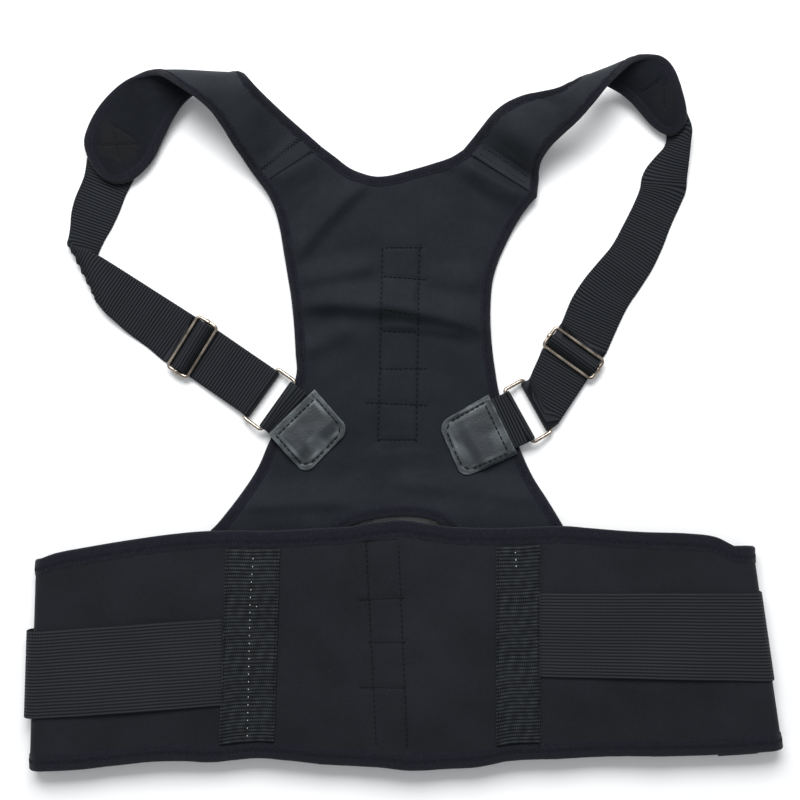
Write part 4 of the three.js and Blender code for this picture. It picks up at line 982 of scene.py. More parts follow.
# ---------------------------------------------------------------- back panel
def make_panel():
    under = BINDING_WIDTH - 3.2
    arch_under = ARCH_BINDING_WIDTH - 3.2
    C, R, cut_a, cut_b = 152, 164, 5 / 22, 17 / 22
    side = lambda key, t: inset_of(key, t * (len(EDGES[key][0]) - 1), under)
    def border(q, key, width):
        n = len(EDGES[key][0]) - 1
        t = 1.0 if key == "neck" else 0.0
        L, Rr = side("left", np.array([t]))[0], side("right", np.array([t]))[0]
        a, b = inset_of(key, np.array([0.0]), width)[0], inset_of(key, np.array([float(n)]), width)[0]
        out = inset_of(key, n * clamp((q - cut_a) / (cut_b - cut_a), 0, 1), width)
        k0, k1 = clamp(q / cut_a, 0, 1)[:, None], clamp((q - cut_b) / (1 - cut_b), 0, 1)[:, None]
        out = np.where((q < cut_a)[:, None], L * (1 - k0) + a * k0, out)
        return np.where((q > cut_b)[:, None], b * (1 - k1) + Rr * k1, out)
    q, t = np.linspace(0, 1, C + 1), np.linspace(0, 1, R + 1)
    A, B = border(q, "arch", arch_under), border(q, "neck", under)
    L, Rr = side("left", t), side("right", t)
    s_, t_ = q[None, :, None], t[:, None, None]
    P = ((1 - t_) * A[None] + t_ * B[None] + (1 - s_) * L[:, None] + s_ * Rr[:, None]
         - (1 - s_) * (1 - t_) * A[0] - s_ * (1 - t_) * A[-1] - (1 - s_) * t_ * B[0] - s_ * t_ * B[-1])
    x, y = P[..., 0], P[..., 1]
    top = on_panel(x, y, PANEL_WALL + row_groove(x, y, PANEL_ROWS))
    bottom = on_panel(x, y, 0.0)
    held = np.zeros(x.shape, bool)
    for ax, ay, bx, by in PANEL_ROWS:
        held |= to_segment(x, y, ax, ay, bx, by)[0] < 2.6
    for quad in (TAB_LEFT, TAB_RIGHT):
        held |= inside_of(quad, x, y, 10.0) > 0.02
    top, _ = puffed("panel_pad", top, bottom, held, 1.5, (58, 50))
    o = shell("back_panel_cloth", top, bottom, [PADDED], {"patch": 0 * x})
    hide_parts("back_panel")
    made["panel"] = o
    hems = []
    for name, key, width in (("panel_binding_left", "left", BINDING_WIDTH), ("panel_binding_right", "right", BINDING_WIDTH),
                             ("neck_binding", "neck", BINDING_WIDTH), ("arch_binding", "arch", ARCH_BINDING_WIDTH)):
        s = np.linspace(0, len(EDGES[key][0]) - 1, 500)
        outer, inner = along(EDGES[key][0], s), inset_of(key, s, width)
        o, zz = binding(name + "_tape", on_panel, outer, inner, width, BINDING_THICK, PANEL_WALL, PANEL_WALL / 2, name)
        hems.append(o)
        zigzags["panel"].append(zz)
    made["panel_hems"] = hems
    onto = lambda a, b, m: on_panel(a, b, m + PANEL_WALL - 0.05)
    runs = []
    for k, (ax, ay, bx, by) in enumerate(PANEL_ROWS):
        long_row = k < 2
        runs.append(run_of(onto, [[ax, ay], [bx, by]], 3.9 if long_row else 3.4, 2.3 if long_row else 2.5, 0.12, seed=30 + k))
    made["panel_stitching"] = stitches("panel_stitching", *gather(runs), 0.40, THREAD)

# ---------------------------------------------------------------- shoulder straps
def locate(surface, last, n, x, y, lo=0.0):
    """Place on a band's surface, at height n, that lies over x, y."""
    s, t = np.meshgrid(np.linspace(lo, last, 220), np.linspace(0, 1, 60), indexing="ij")
    p = surface(s, t, n)
    k = np.argmin((p[..., 0] - x) ** 2 + (p[..., 1] - y) ** 2)
    return [s.ravel()[k], t.ravel()[k]]

def make_strap(side, table, up, cap_start, cap_power, ripples):
    rows = eased(table, 1)
    plain, last, first = band(rows, up), len(rows) - 1, SEAM_START
    def surface(s, t, n):
        s, t, n = np.broadcast_arrays(np.asarray(s, float), np.asarray(t, float), np.asarray(n, float))
        lift = 0.3 * ripple(s * 13, t * 40, 34, 41 if side == "left" else 43)
        for s0, t0, ws, wt, h in ripples:
            lift = lift + h * np.exp(-((s - s0) / ws) ** 2 - ((t - t0) / wt) ** 2)
        return plain(s, t, n + lift * smooth(s / 0.5))
    mid = lambda s: (lambda r: (r[..., 0:3] + r[..., 3:6]) / 2)(along(rows, s))
    cap_len = float(np.linalg.norm(mid(np.array(float(cap_start))) - mid(np.array(float(last)))))
    w_cap = float(width_at(rows, np.array(float(cap_start))))
    def outline(angle, cut):
        c, q, p = np.cos(angle), np.sin(angle), 2 / cap_power
        s = cap_start + (last - cap_start) * (1 - cut / cap_len) * np.abs(c) ** p
        return s, 0.5 + (0.5 - cut / w_cap) * np.sign(q) * np.abs(q) ** p
    under = BINDING_WIDTH - 3.0
    body = np.linspace(first, cap_start, 250)
    half = 0.5 - under / width_at(rows, body)
    cap_s, cap_hi = outline(np.radians(np.concatenate([np.linspace(88, 20, 34), np.linspace(19, 3, 12)])), under)
    s_all = np.concatenate([body, cap_s])
    half_all = np.concatenate([half, cap_hi - 0.5])
    f = np.linspace(-1, 1, 47)
    S = np.broadcast_to(s_all[:, None], (len(s_all), len(f)))
    T = 0.5 + half_all[:, None] * f[None, :]
    # soft swell between the bound edges
    swell = 0.55 * (1 - np.abs(f[None, :]) ** 3)
    at = surface(S, T, -STRAP_WALL / 2)
    # painted highlight: mask of the raised patch on the lobe, weaker on the right strap
    patch = inside_of(LOBE_LIT_PATCH[side], at[..., 0] + 0.8 * ripple(S * 20, T * 30, 9, 61), at[..., 1], 4.5) * (S > cap_start - 3) * (1.0 if side == "left" else 0.6)
    X = LOBE_X[side]
    groove = np.zeros(S.shape)
    for (s0, t0), (s1, t1) in X:
        w = w_cap
        unit_s = cap_len / (last - cap_start)
        d, _ = to_segment(S * unit_s, T * w, s0 * unit_s, t0 * w, s1 * unit_s, t1 * w)
        groove = np.maximum(groove, np.exp(-(d / 1.1) ** 2))
    top = surface(S, T, STRAP_WALL / 2 + swell * 0.9)
    bottom = surface(S, T, -STRAP_WALL / 2 - swell * 0.6 - 0.3 * patch + 0.4 * groove)
    top, bottom = puffed(f"strap_pad_{side}", top, bottom, (groove > 0.5) | (S < first + 0.25), 1.6, (84, 15), pressure=14.0)
    o = shell(f"shoulder_strap_{side}_pad", top, bottom, [STRAP_CLOTH, INNER], {"patch": patch}, lower_material=1)
    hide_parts(f"shoulder_strap_{side}")
    made["strap_" + side] = o
    edge = lambda s, far: (np.stack([s, np.full(s.shape, 1.0 if far else 0.0)], 1),
                           np.stack([s, (1 - BINDING_WIDTH / width_at(rows, s)) if far else BINDING_WIDTH / width_at(rows, s)], 1))
    ang = np.radians(np.linspace(-88, 88, 120))
    o0, i0 = edge(body, False)
    o1, i1 = np.stack(outline(ang, 0.0), 1), np.stack(outline(ang, BINDING_WIDTH), 1)
    o2, i2 = edge(body[::-1], True)
    outer, inner = np.concatenate([o0, o1, o2]), np.concatenate([i0, i1, i2])
    tape, zz = binding(f"strap_binding_{side}_tape", surface, outer, inner, BINDING_WIDTH, BINDING_THICK, STRAP_WALL, 0.0, f"strap_binding_{side}")
    zigzags["strap_" + side].append(zz)
    zz2 = zigzag(lambda a, b, m: surface(a, b, -(m + BINDING_THICK / 2)), outer, inner, BINDING_WIDTH, BINDING_WIDTH * 0.44, BINDING_WIDTH * 0.72, 2.6)
    zigzags["strap_" + side].append((zz2[0], zz2[1], zz2[2]))
    # stitches of the lobe, and rows across the strap beside its seam; the row at s 0.10 is nearly unbroken dark thread,
    # painted shade of the step where the strap stands above the panel
    low = lambda a, b, m: surface(a, b, -(m + STRAP_WALL / 2 + 0.35))
    runs = [run_of(low, [list(p), list(q)], 2.6, 2.2, 0.0) for p, q in X]
    high = lambda a, b, m: surface(a, b, m + STRAP_WALL / 2 + 0.45)
    # painted shade: a nearly unbroken row of dark thread along the step at the seam
    seam_shade_line = run_of(high, [[0.10, 0.13], [0.10, 0.87]], 2.2, 2.1, 0.0)
    rows_ = [] if side == "left" else [run_of(high, [[s0, 0.16], [s0, 0.84]], 3.0, 2.2, 0.012, seed=7) for s0 in (0.45, 1.0)]
    runs += [seam_shade_line] + rows_
    if side == "left":
        across = np.linspace(0.14, 0.86, 27)
        bar = [[0.62 + (0.16 if k % 2 else -0.04), q] for k, q in enumerate(across)]
        pts = [high(np.array(p[0]), np.array(p[1]), 0.0) for p in bar]
        ups = [high(np.array(p[0]), np.array(p[1]), 1.0) - q for p, q in zip(bar, pts)]
        runs.append((np.array(pts[:-1]), np.array(pts[1:]), np.array(ups[:-1])))
    made["strap_stitching_" + side] = stitches(f"strap_stitching_{side}", *gather(runs), 0.32, SEAM_THREAD_AND_SHADE)
    # double turned seam where strap meets panel
    a = np.linspace(0.012, 0.988, 90)
    ring = np.linspace(0, 2 * math.pi, 15)[:-1]
    grow = (0.75 + 0.25 * smooth(np.minimum(a, 1 - a) / 0.08))[:, None]
    rings = surface((first + 0.012 + 0.045 * grow * np.cos(ring)[None, :]), a[:, None] + 0 * ring[None, :], 0.95 + 1.35 * grow * np.sin(ring)[None, :])
    ridge = tube(f"seam_ridge_{side}", rings, [BINDING])
    return surface, plain, rows

# stitched lines on each lobe: places along and across the strap
LOBE_X = {
    "left": [((15.97, 0.698), (16.67, 0.296)), ((17.46, 0.742), (16.79, 0.264)), ((16.27, 0.667), (17.86, 0.447))],
    "right": [((15.77, 0.296), (15.91, 0.667)), ((16.51, 0.686), (17.87, 0.478))],
}
# lighter patch of each lobe, painted highlight where the webbing sewn beneath raises it: corners x, y
LOBE_LIT_PATCH = {
    "left": [(-208.5, 202.8), (-184.3, 188.8), (-185.3, 174.6), (-197.8, 173.2), (-211.0, 177.4), (-210.3, 185.8)],
    "right": [(174.2, 225.1), (186.0, 225.1), (186.0, 207.8), (174.2, 207.8)],
}

# ---------------------------------------------------------------- sliders and rings
def wire_loop(centre, e, f, length, depth, corner, radius, sides=18, steps=9):
    pts = []
    for a, b, start in ((1, 1, 0), (-1, 1, 90), (-1, -1, 180), (1, -1, 270)):
        for k in range(steps + 1):
            w = math.radians(start + 90 * k / steps)
            pts.append(centre + e * (a * (length / 2 - corner) + corner * math.cos(w)) + f * (b * (depth / 2 - corner) + corner * math.sin(w)))
    pts = np.array(pts)
    # even spacing along the straight stretches
    at, _ = spaced(np.vstack([pts, pts[:1]]), 0.8)
    pts = pick(np.vstack([pts, pts[:1]]), at)[:-1]
    up = np.cross(e, f)
    d = unit(np.roll(pts, -1, 0) - np.roll(pts, 1, 0))
    out = np.cross(d, up)
    a = 2 * math.pi * np.arange(sides) / sides
    return pts[:, None] + radius * (np.cos(a)[None, :, None] * out[:, None] + np.sin(a)[None, :, None] * up[None, None, :])

def rod(p, q, radius, sides=18, ends=0.35, count=9, bulge=0.0):
    t = np.concatenate([[0, 0.02], np.linspace(0.05, 0.95, count), [0.98, 1.0]])
    r = radius * np.concatenate([[1 - ends, 1 - ends * 0.3], 1 + bulge * np.sin(math.pi * np.linspace(0, 1, count)), [1 - ends * 0.3, 1 - ends]])
    d = unit(q - p)
    n = unit(np.cross(d, [0, 0, 1.0]))
    b = np.cross(d, n)
    a = 2 * math.pi * np.arange(sides) / sides
    return (p + (q - p) * t[:, None])[:, None] + r[:, None, None] * (np.cos(a)[None, :, None] * n + np.sin(a)[None, :, None] * b)

def make_hardware(side):
    S, R = HW[f"slider_{side}"], HW[f"ring_{side}"]
    up = np.array([0, 0, 1.0])
    c = S["c"] + up * SLIDER_Z
    frame_ = wire_loop(c, S["e"], S["d"], SLIDER_LENGTH - WIRE, SLIDER_DEPTH - WIRE, SLIDER_CORNER, WIRE / 2)
    e, d = S["e"], S["d"]
    half = (SLIDER_LENGTH - WIRE) / 2
    parts = [tube_parts(frame_, True), tube_parts(rod(c - e * half, c + e * half, SLIDER_BAR / 2))]
    for sign in (-1, 1):                     # the bar's ends are rolled round the frame
        p = c + e * (sign * half) + up * 0.1
        parts.append(tube_parts(rod(p - d * 1.75, p + d * 1.75, 1.75, ends=0.45, bulge=0.10)))
    V, F = join_parts(parts)
    o = build(f"slider_{side}_wire", V, F, [METAL])
    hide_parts(f"slider_{side}")
    rise = R["d"] * RING_PITCH + up * (RING_HIGH - RING_LOW)
    f = unit(rise)
    rings = wire_loop(R["c"] + up * (RING_LOW + RING_HIGH) / 2, R["e"], f, RING_LENGTH - WIRE, float(np.linalg.norm(rise)), RING_CORNER, WIRE / 2)
    V, F = tube_parts(rings, True)
    o = build(f"ring_{side}_wire", V, F, [METAL])
    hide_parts(f"ring_{side}")

# ---------------------------------------------------------------- webbing
def make_webbing(side, strap_surface, under_rows, free_rows, offset):
    S, R = HW[f"slider_{side}"], HW[f"ring_{side}"]
    bar = dict(R, c=R["c"] - R["d"] * RING_PITCH / 2)
    rows = []
    for s, ta, tb in under_rows:
        a, b = (strap_surface(np.array(float(s)), np.array(float(t)), np.array(float(offset))) for t in (ta, tb))
        rows.append([*a, *b, 0])
    rows += [list(r) for r in free_rows]
    path = [station(S if where == "slider" else bar, d, z) for where, d, z in THREADING]
    for k in range(1, len(path) - 2):        # between slider and ring it runs straight
        if THREADING[k][0] != THREADING[k + 1][0]:
            p, q = np.array(path[k - 1]), np.array(path[k + 2])
            path[k], path[k + 1] = list(p * 2 / 3 + q / 3), list(p / 3 + q * 2 / 3)
    rows += path
    o, surface = ribbed(f"webbing_{side}_tape", rows, 1, WEBBING_THICK, WEBBING, uneven=0.12, seed=50 if side == "left" else 51)
    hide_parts(f"webbing_{side}")
    made["webbing_" + side] = o

# ---------------------------------------------------------------- leather tabs and their loops
def make_tab(side):
    R, quad = HW[f"ring_{side}"], (TAB_LEFT if side == "left" else TAB_RIGHT)
    a, h, h_far, a_far = (np.array([x, y, 0.0]) for x, y in quad)
    edge_mid, far_mid = (a + h) / 2, (a_far + h_far) / 2
    q = far_mid - edge_mid
    length = float(np.linalg.norm(q))
    q = q / length
    e = unit(a - h)
    width = float(np.linalg.norm(a - h))
    bar = dict(R, c=R["c"] + R["d"] * RING_PITCH / 2)
    offset = float((bar["c"] - edge_mid) @ e)
    T = dict(c=edge_mid + e * offset * 0.8, d=q, e=e)
    rows = [station(T if where == "tab" else bar, d, z) for where, d, z in LOOP_PATH]
    o, _ = ribbed(f"tab_loop_{side}_tape", rows, 1, LOOP_THICK, LOOPS, depth=0.22, seed=60)
    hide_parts(f"tab_loop_{side}")
    made["loop_" + side] = o
    def flat(s, t):
        r = 0.2
        k = np.where(s > 1 - r, 1 - np.sqrt(np.maximum(0, 1 - ((s - 1 + r) / r) ** 2)), 0)
        tt = mix(t, 0.5, k * 0.36)
        p = (a[None] * (1 - tt[..., None]) + h[None] * tt[..., None]) * (1 - s[..., None]) + (a_far[None] * (1 - tt[..., None]) + h_far[None] * tt[..., None]) * s[..., None]
        rel = p - T["c"]
        side_, fwd = np.abs(rel @ e), rel @ q
        lift = LEATHER_BASE + LEATHER_LIFT * (1 - smooth((side_ - 19.6) / 4.2)) * (1 - smooth((fwd - 22.5) / 9))
        lift = np.maximum(lift, panel_height(p[..., 0], p[..., 1]) + PANEL_WALL + 0.15)
        return p[..., 0], p[..., 1], lift
    def rim_distance(s, t):
        x, y, _ = flat(s, t)
        d = np.minimum(np.minimum(t, 1 - t) * width * (1 - 0.36 * np.where(s > 0.8, 1 - np.sqrt(np.maximum(0, 1 - ((s - 0.8) / 0.2) ** 2)), 0)), np.minimum(s, 1 - s) * length)
        return d
    rows_ = {"left": [[(0.1, 0.075), (0.80, 0.075)], [(0.80, 0.075), (0.915, 0.16)], [(0.915, 0.16), (0.93, 0.5)], [(0.93, 0.5), (0.915, 0.84)], [(0.915, 0.84), (0.80, 0.925)], [(0.80, 0.925), (0.1, 0.925)], [(0.13, 0.1), (0.13, 0.9)]]}
    seams = rows_["left"]
    s, t = np.meshgrid(rimmed(64, length), rimmed(68, width), indexing="ij")
    x, y, z = flat(s, t)
    d = rim_distance(s, t)
    groove = np.zeros(s.shape)
    for (s0, t0), (s1, t1) in seams:
        dd, _ = to_segment(s * length, t * width, s0 * length, t0 * width, s1 * length, t1 * width)
        groove = np.maximum(groove, np.exp(-(dd / 0.8) ** 2))
    inner_swell = 0.45 * smooth((d - 3.4) / 5)
    wear = clamp(np.exp(-(d / 0.9) ** 2) * 0.7 * (0.6 + 0.6 * ripple(x, y, 9, 70)) + 0.6 * np.exp(-((d - 5.2) / 1.4) ** 2) * (0.45 + 0.7 * ripple(x, y, 13, 71)) + 0.3 * smooth(ripple(x, y, 22, 72)), 0, 1)
    top = xyz(x, y, z + LEATHER_THICK + inner_swell - 0.5 * groove + 0.12 * ripple(x, y, 11, 73) - rounding(d))
    bottom = xyz(x, y, z)
    o = shell(f"leather_tab_{side}_skin", top, bottom, [LEATHER], {"wear": wear})
    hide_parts(f"leather_tab_{side}")
    made["tab_" + side] = o
    def onto(s_, t_, m):
        x_, y_, z_ = flat(np.asarray(s_, float), np.asarray(t_, float))
        return xyz(x_, y_, z_ + LEATHER_THICK + 0.06 + m)
    runs = [run_of(onto, [list(p), list(r)], 3.9, 3.3) for p, r in seams]
    made["tab_stitching_" + side] = stitches(f"tab_stitching_{side}", *gather(runs), 0.40, THREAD, sides=6)

# ---------------------------------------------------------------- waist belt
FOLD_R, FOLD_Z = (BELT_FRONT_Z - BELT_WING_Z) / 2, (BELT_FRONT_Z + BELT_WING_Z) / 2
XL0, XR0 = BELT_LEFT + FOLD_R, BELT_RIGHT - FOLD_R
WING_END_L, WING_END_R, STEP_FROM, STEP_TO = 50, -50, 104, 62
ARC = math.pi * FOLD_R
U1 = WING_END_L - XL0
U2 = U1 + ARC
U3 = U2 + (XR0 - XL0)
U4 = U3 + ARC
U5 = U4 + (XR0 - WING_END_R)

def loop_section(u):
    u = np.asarray(u, float)
    w1 = -math.pi / 2 - (u - U1) / FOLD_R
    w2 = math.pi / 2 - (u - U3) / FOLD_R
    x5 = XR0 - (u - U4)
    k = smooth((STEP_FROM - x5) / (STEP_FROM - STEP_TO))
    cases = [u <= U1, u <= U2, u <= U3, u <= U4]
    x = np.select(cases, [WING_END_L - u, XL0 + FOLD_R * np.cos(w1), XL0 + (u - U2), XR0 + FOLD_R * np.cos(w2)], x5)
    z = np.select(cases, [BELT_WING_Z + 0 * u, FOLD_Z + FOLD_R * np.sin(w1), BELT_FRONT_Z + 0 * u, FOLD_Z + FOLD_R * np.sin(w2)], mix(BELT_WING_Z, BELT_OVERLAP_Z, k))
    nx = np.select(cases, [0 * u, np.cos(w1), 0 * u, np.cos(w2)], 0 * u)
    nz = np.select(cases, [-1 + 0 * u, np.sin(w1), 1 + 0 * u, np.sin(w2)], -1 + 0 * u)
    return x, z, nx, nz

def under(u):
    return np.select([u < U1, u < U2, u < U3, u < U4], [1 + 0 * u, 1 - (u - U1) / ARC, 0 * u, (u - U3) / ARC], 1 + 0 * u)

def belt_limits(u):
    x = loop_section(u)[0]
    k = under(u) * (1 + 13 * smooth((252 - np.abs(x)) / 112))
    return height_at(BELT_BOTTOM, x) + k * 0.75, height_at(BELT_TOP, x) - k

def on_belt(u, y, n):
    u, y, n = np.broadcast_arrays(np.asarray(u, float), np.asarray(y, float), np.asarray(n, float))
    x, z, nx, nz = loop_section(u)
    w = clamp((y + 235) / 135, 0, 1)
    lean = (smooth((XL0 + 90 - x) / 90) * (mix(FOLD_LEFT[0], FOLD_LEFT[1], w) - (BELT_LEFT - BELT_WALL / 2))
            + smooth((x - XR0 + 90) / 90) * (mix(FOLD_RIGHT[0], FOLD_RIGHT[1], w) - (BELT_RIGHT + BELT_WALL / 2)))
    front = smooth((u - U2) / 30) * smooth((U3 - u) / 30)
    wave = (1.3 * ripple(x, y * 0.8, 95, 81) + 0.45 * ripple(x, y, 38, 82)) * front
    n = n + wave
    return xyz(x + lean + nx * n, y, z + nz * n)

def u_of(x):
    return U2 + (np.asarray(x, float) - XL0)

def front_groove(u, y):
    x = loop_section(u)[0]
    front = (u > U2) & (u < U3)
    return np.where(front, row_groove(x, y, BELT_ROWS, 0.55, 1.2), 0.0)

def make_belt():
    us = np.concatenate([np.linspace(0, U1, 60), np.linspace(U1, U2, 26)[1:], np.linspace(U2, U3, 250)[1:], np.linspace(U3, U4, 26)[1:], np.linspace(U4, U5, 60)[1:]])
    lo, hi = belt_limits(us)
    inner = BELT_BINDING_WIDTH - 3.5
    f = np.linspace(0, 1, 84)
    Y = (lo + inner)[:, None] * (1 - f) + (hi - inner)[:, None] * f
    U = np.broadcast_to(us[:, None], Y.shape)
    x = loop_section(U)[0]
    channel = np.where((U > U2) & (U < U3), 0.5 * smooth((x + 26) / 6) * smooth((3 - x) / 6), 0)
    o = shell("waist_belt_cloth", on_belt(U, Y, BELT_WALL / 2 + channel + front_groove(U, Y)), on_belt(U, Y, -BELT_WALL / 2), [BELT_CLOTH], {"patch": 0 * Y})
    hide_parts("waist_belt")
    made["belt"] = o
    dense = np.linspace(0, U5, 2400)
    lo, hi = belt_limits(dense)
    hems = []
    for name, edge_, sign in (("belt_binding_top", hi, -1), ("belt_binding_bottom", lo, 1)):
        outer, inner_ = np.stack([dense, edge_], 1), np.stack([dense, edge_ + sign * BELT_BINDING_WIDTH], 1)
        o, zz = binding(name + "_tape", on_belt, outer, inner_, BELT_BINDING_WIDTH, BINDING_THICK, BELT_WALL, 0.0, name, step=1.0)
        hems.append(o)
        zigzags["belt"].append(zz)
    made["belt_hems"] = hems
    onto = lambda a, b, m: on_belt(a, b, m + BELT_WALL / 2 + 0.12)
    runs = []
    for k, (ax, ay, bx, by) in enumerate(BELT_ROWS):
        runs.append(run_of(onto, [[u_of(ax), ay], [u_of(bx), by]], 3.7 if k < 2 else 2.9, 2.6 if k < 2 else 2.4, 0.15, seed=90 + k))
    made["belt_stitching"] = stitches("belt_stitching", *gather(runs), 0.38, THREAD)

def line_at(line, x):
    (x0, y0), (x1, y1) = line
    return y0 + (y1 - y0) * (x - x0) / (x1 - x0)

def make_elastic(side):
    off = BELT_WALL / 2 + SKIN_GAP
    if side == "left":
        us = np.concatenate([np.linspace(u_of(-124.0), U2, 34), np.linspace(U2, U1, 18)[1:], np.linspace(U1, U1 - 90, 9)[1:]])
        stand = lambda u: ELASTIC_STAND * np.sin(math.pi * clamp((u - U1) / ARC, 0, 1)) ** 2
        low, high = ELASTIC_LEFT_BOTTOM, ELASTIC_LEFT_TOP
    else:
        us = np.concatenate([np.linspace(u_of(93.0), U3, 36), np.linspace(U3, U4, 18)[1:], np.linspace(U4, U4 + 90, 9)[1:]])
        stand = lambda u: 0 * u
        low, high = ELASTIC_RIGHT_BOTTOM, ELASTIC_RIGHT_TOP
    width = 58.0
    count = int(round(width / ELASTIC_RIB))
    f = np.unique(np.concatenate([np.linspace(0, 1, count * 6 + 1), [0.004, 0.01, 0.99, 0.996]]))
    U, F = np.meshgrid(us, f, indexing="ij")
    x = loop_section(U)[0]
    rib = np.abs(np.sin(math.pi * F * count)) ** 0.8
    rim = rounding(np.minimum(F, 1 - F) * width, 0.7, 0.4)
    front = (U > U2 + 4) & (U < U3 - 4)
    # the lower edge stands a little off the belt between strip and fold
    span_ = clamp((U - (U2 if side == "left" else u_of(93.0))) / ((u_of(-124.0) - U2) if side == "left" else (U3 - u_of(93.0))), 0, 1)
    lift = np.where(front, (1.5 if side == "left" else 1.1) * np.sin(math.pi * span_) ** 2 * (1 - smooth(F / 0.45)) + 0.15, 0.0)
    Y = mix(line_at(low, x), line_at(high, x), F)
    base = stand(U) + lift
    top = on_belt(U, Y, off + ELASTIC_THICK + base + 0.16 * (rib - 0.5) - rim)
    bottom = on_belt(U, Y, off + base)
    o = shell(f"elastic_{side}_tape", top, bottom, [ELASTIC], {"rib": rib, "run": F * width, "side": U})
    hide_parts(f"elastic_{side}")
    made["elastic_" + side] = o

def make_strip(side):
    corners = STRIP_LEFT if side == "left" else STRIP_RIGHT
    off = BELT_WALL / 2 + SKIN_GAP
    width = abs(corners[2][0] - corners[0][0])
    length = 137.0
    s = np.linspace(0, 1, int(length / 0.41))
    t = rimmed(int(width / 1.3), width)
    S, T = np.meshgrid(s, t, indexing="ij")
    x = mix(mix(corners[0][0], corners[1][0], S), mix(corners[2][0], corners[3][0], S), T)
    hi = height_at(BELT_TOP, x) - BELT_BINDING_WIDTH - 0.5
    lo = height_at(BELT_BOTTOM, x) + BELT_BINDING_WIDTH + 0.5
    row = S * length / WEAVE_ROW
    row = row + 0.14 * ripple(T * width, S * length, 24, 95)
    rib = np.abs(np.sin(math.pi * row)) ** 0.9
    weave = rib * clamp(0.84 + 0.16 * ripple(T * width, S * length, 8, 96), 0, 1)
    rim = rounding(np.minimum(T, 1 - T) * width, 0.9, 0.5)
    x = x + np.where((T < 0.02) | (T > 0.98), (T - 0.5) * 2 * 0.35 * (rib - 0.5), 0)
    Y = mix(hi, lo, S)
    top = on_belt(u_of(x), Y, off + STRIP_THICK + 0.42 * (weave - 0.5) - rim)
    bottom = on_belt(u_of(x), Y, off - 0.2)
    # the side coordinate, staggered by row, places painted shade between the dots of the weave
    o = shell(f"side_strip_{side}_weave", top, bottom, [STRIP], {"rib": weave, "side": T * width + 0.35 * np.floor(row)})
    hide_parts(f"side_strip_{side}")
    made["strip_" + side] = o
    onto = lambda a, b, m: on_belt(u_of(mix(mix(corners[0][0], corners[1][0], a), mix(corners[2][0], corners[3][0], a), b)),
                                   mix(height_at(BELT_TOP, corners[0][0]) - 9, height_at(BELT_BOTTOM, corners[0][0]) + 9, a), m + off + STRIP_THICK + 0.12)
    runs = [run_of(onto, [[0.02, q], [0.98, q]], 3.1, 2.3, seed=8) for q in (0.04, 0.96)]
    made["strip_stitching_" + side] = stitches(f"strip_stitching_{side}", *gather(runs), 0.3, THREAD)
    # short bright threads on the strips are painted glints
    if side == "left":
        bright = [run_of(onto, [[0.035, 0.52], [0.30, 0.485], [0.97, 0.51]], 5.3, 0.9, 0.0, seed=9),
                  run_of(onto, [[0.27, 0.60], [0.34, 0.61]], 8.0, 0.5, 0.004, seed=12)]
        o = stitches("strip_glints_left", *gather(bright), 0.3, GLINT)
    else:
        o = stitches("strip_glints_right", *run_of(onto, [[0.03, 0.42], [0.14, 0.46]], 4.4, 1.0, 0.003, seed=11), 0.26, GLINT)

def make_pad():
    P = CLOSURE_PAD
    s, t = np.meshgrid(rimmed(60, 66), rimmed(26, 27), indexing="ij")
    x = mix(P["x0"], P["x1"], t)
    y = mix(height_at(BELT_BOTTOM, x) - P["below"], P["top"], s)
    d = np.minimum(np.minimum(s, 1 - s) * 66, np.minimum(t, 1 - t) * 27)
    z = P["z"] + 0.08 * ripple(x, y, 5, 97)
    o = shell("closure_pad_cloth", xyz(x, y, z + P["thick"] - rounding(d, 0.7, 0.4)), xyz(x, y, z), [BINDING])
    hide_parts("closure_pad")
    made["pad"] = o

# ---------------------------------------------------------------- all pieces
make_panel()
_, plain_left, _ = make_strap("left", STRAP_LEFT, 1, 17, 2, [(8.8, 0.3, 0.9, 0.3, -0.8), (3.2, 0.6, 0.8, 0.4, 0.6)])
_, plain_right, _ = make_strap("right", STRAP_RIGHT, -1, 17.6, 3, [(1.1, 0.6, 0.85, 0.5, -3.6), (3.3, 0.5, 1.0, 0.5, 5.2), (5.8, 0.3, 0.6, 0.3, -1.6)])
for side in ("left", "right"):
    make_hardware(side)
    make_tab(side)
    make_elastic(side)
    make_strip(side)
make_webbing("left", band(STRAP_LEFT, 1), UNDER_LEFT, WEB_LEFT, 3.05)
make_webbing("right", band(STRAP_RIGHT, -1), UNDER_RIGHT, WEB_RIGHT, 3.9)
make_belt()
make_pad()
for key, name in (("panel", "panel_binding_stitching"), ("strap_left", "strap_binding_stitching_left"),
                  ("strap_right", "strap_binding_stitching_right"), ("belt", "belt_binding_stitching")):
    p0, p1, n = gather(zigzags[key])
    made["zig_" + key] = stitches(name, p0, p1, n, 0.19, TAPE_THREAD, sides=4, arch=0.1)

# ---------------------------------------------------------------- soft pieces: what they were cut to, listed; cut() does nothing with the sizes
def cut(key, width, length, held, area=None, rests=(), parts=()):
    list(rests)
    list(parts)

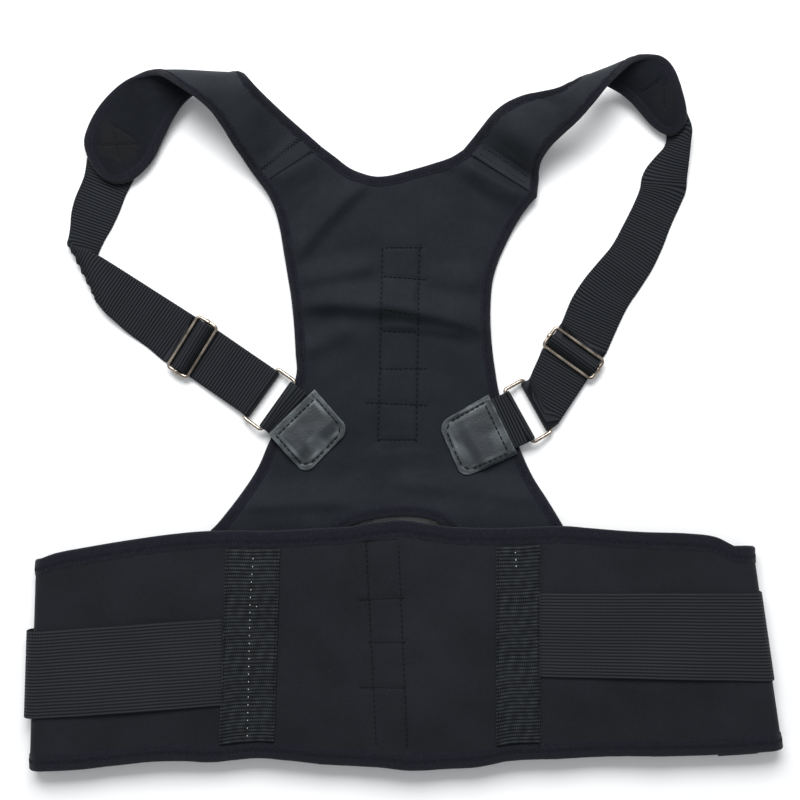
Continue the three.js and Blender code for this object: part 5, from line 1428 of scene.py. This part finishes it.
cut("panel", 0.232, 0.285, "laid", area=0.0404, rests=["floor"], parts=[*made["panel_hems"], made["panel_stitching"], made["zig_panel"]])
cut("belt", 0.146, 1.185, "folded", area=0.158, rests=["floor"], parts=[*made["belt_hems"], made["belt_stitching"], made["zig_belt"]])
for side, web, loop in (("left", 0.345, 0.069), ("right", 0.300, 0.074)):
    cut("webbing_" + side, 0.0374, web, "folded")
    cut("loop_" + side, 0.0374, loop, "folded")
    cut("elastic_" + side, 0.060, 0.245, "folded")
    cut("tab_" + side, 0.044, 0.041, "laid")
cut("strip_left", 0.038, 0.137, "laid", parts=[made["strip_stitching_left"]])
cut("strip_right", 0.030, 0.137, "laid", parts=[made["strip_stitching_right"]])
cut("pad", 0.027, 0.066, "laid")

# ---------------------------------------------------------------- floor, light, camera
floor_look = Look("pale_table", roughness=0.75, specular=0.15)
floor_look.colour(floor_look.ramp(floor_look.noise(9, 3.0), [(0.3, (0.86, 0.865, 0.87, 1)), (0.7, (0.88, 0.883, 0.885, 1))]))
me = bpy.data.meshes.new("floor")
me.from_pydata([(-4, -4, 0), (4, -4, 0), (4, 4, 0), (-4, 4, 0)], [], [(0, 1, 2, 3)])
me.materials.append(floor_look.m)
floor = bpy.data.objects.new("floor", me)
scene.collection.objects.link(floor)

world = bpy.data.worlds.new("studio")
scene.world = world
world.use_nodes = True
world.node_tree.nodes["Background"].inputs["Color"].default_value = (0.96, 0.98, 1.0, 1)
world.node_tree.nodes["Background"].inputs["Strength"].default_value = 0.52

def softbox(name, place, target, size, energy):
    light = bpy.data.lights.new(name, "AREA")
    light.shape, light.size, light.size_y, light.energy = "RECTANGLE", size[0], size[1], energy
    o = bpy.data.objects.new(name, light)
    o.location = place
    back = np.array(place) - np.array(target)
    from mathutils import Vector
    o.rotation_euler = Vector(back).to_track_quat("Z", "Y").to_euler()
    scene.collection.objects.link(o)

softbox("softbox", (-0.15, 1.15, 1.25), (0, 0, 0), (1.4, 0.8), 42)

camera = bpy.data.cameras.new("camera")
camera.lens, camera.sensor_width, camera.clip_start, camera.clip_end = 57.86, 36, 0.05, 30
cam = bpy.data.objects.new("camera", camera)
cam.location = (-0.00245, 0.00846, 0.9)
scene.collection.objects.link(cam)
scene.camera = cam
scene.view_settings.view_transform = "Standard"
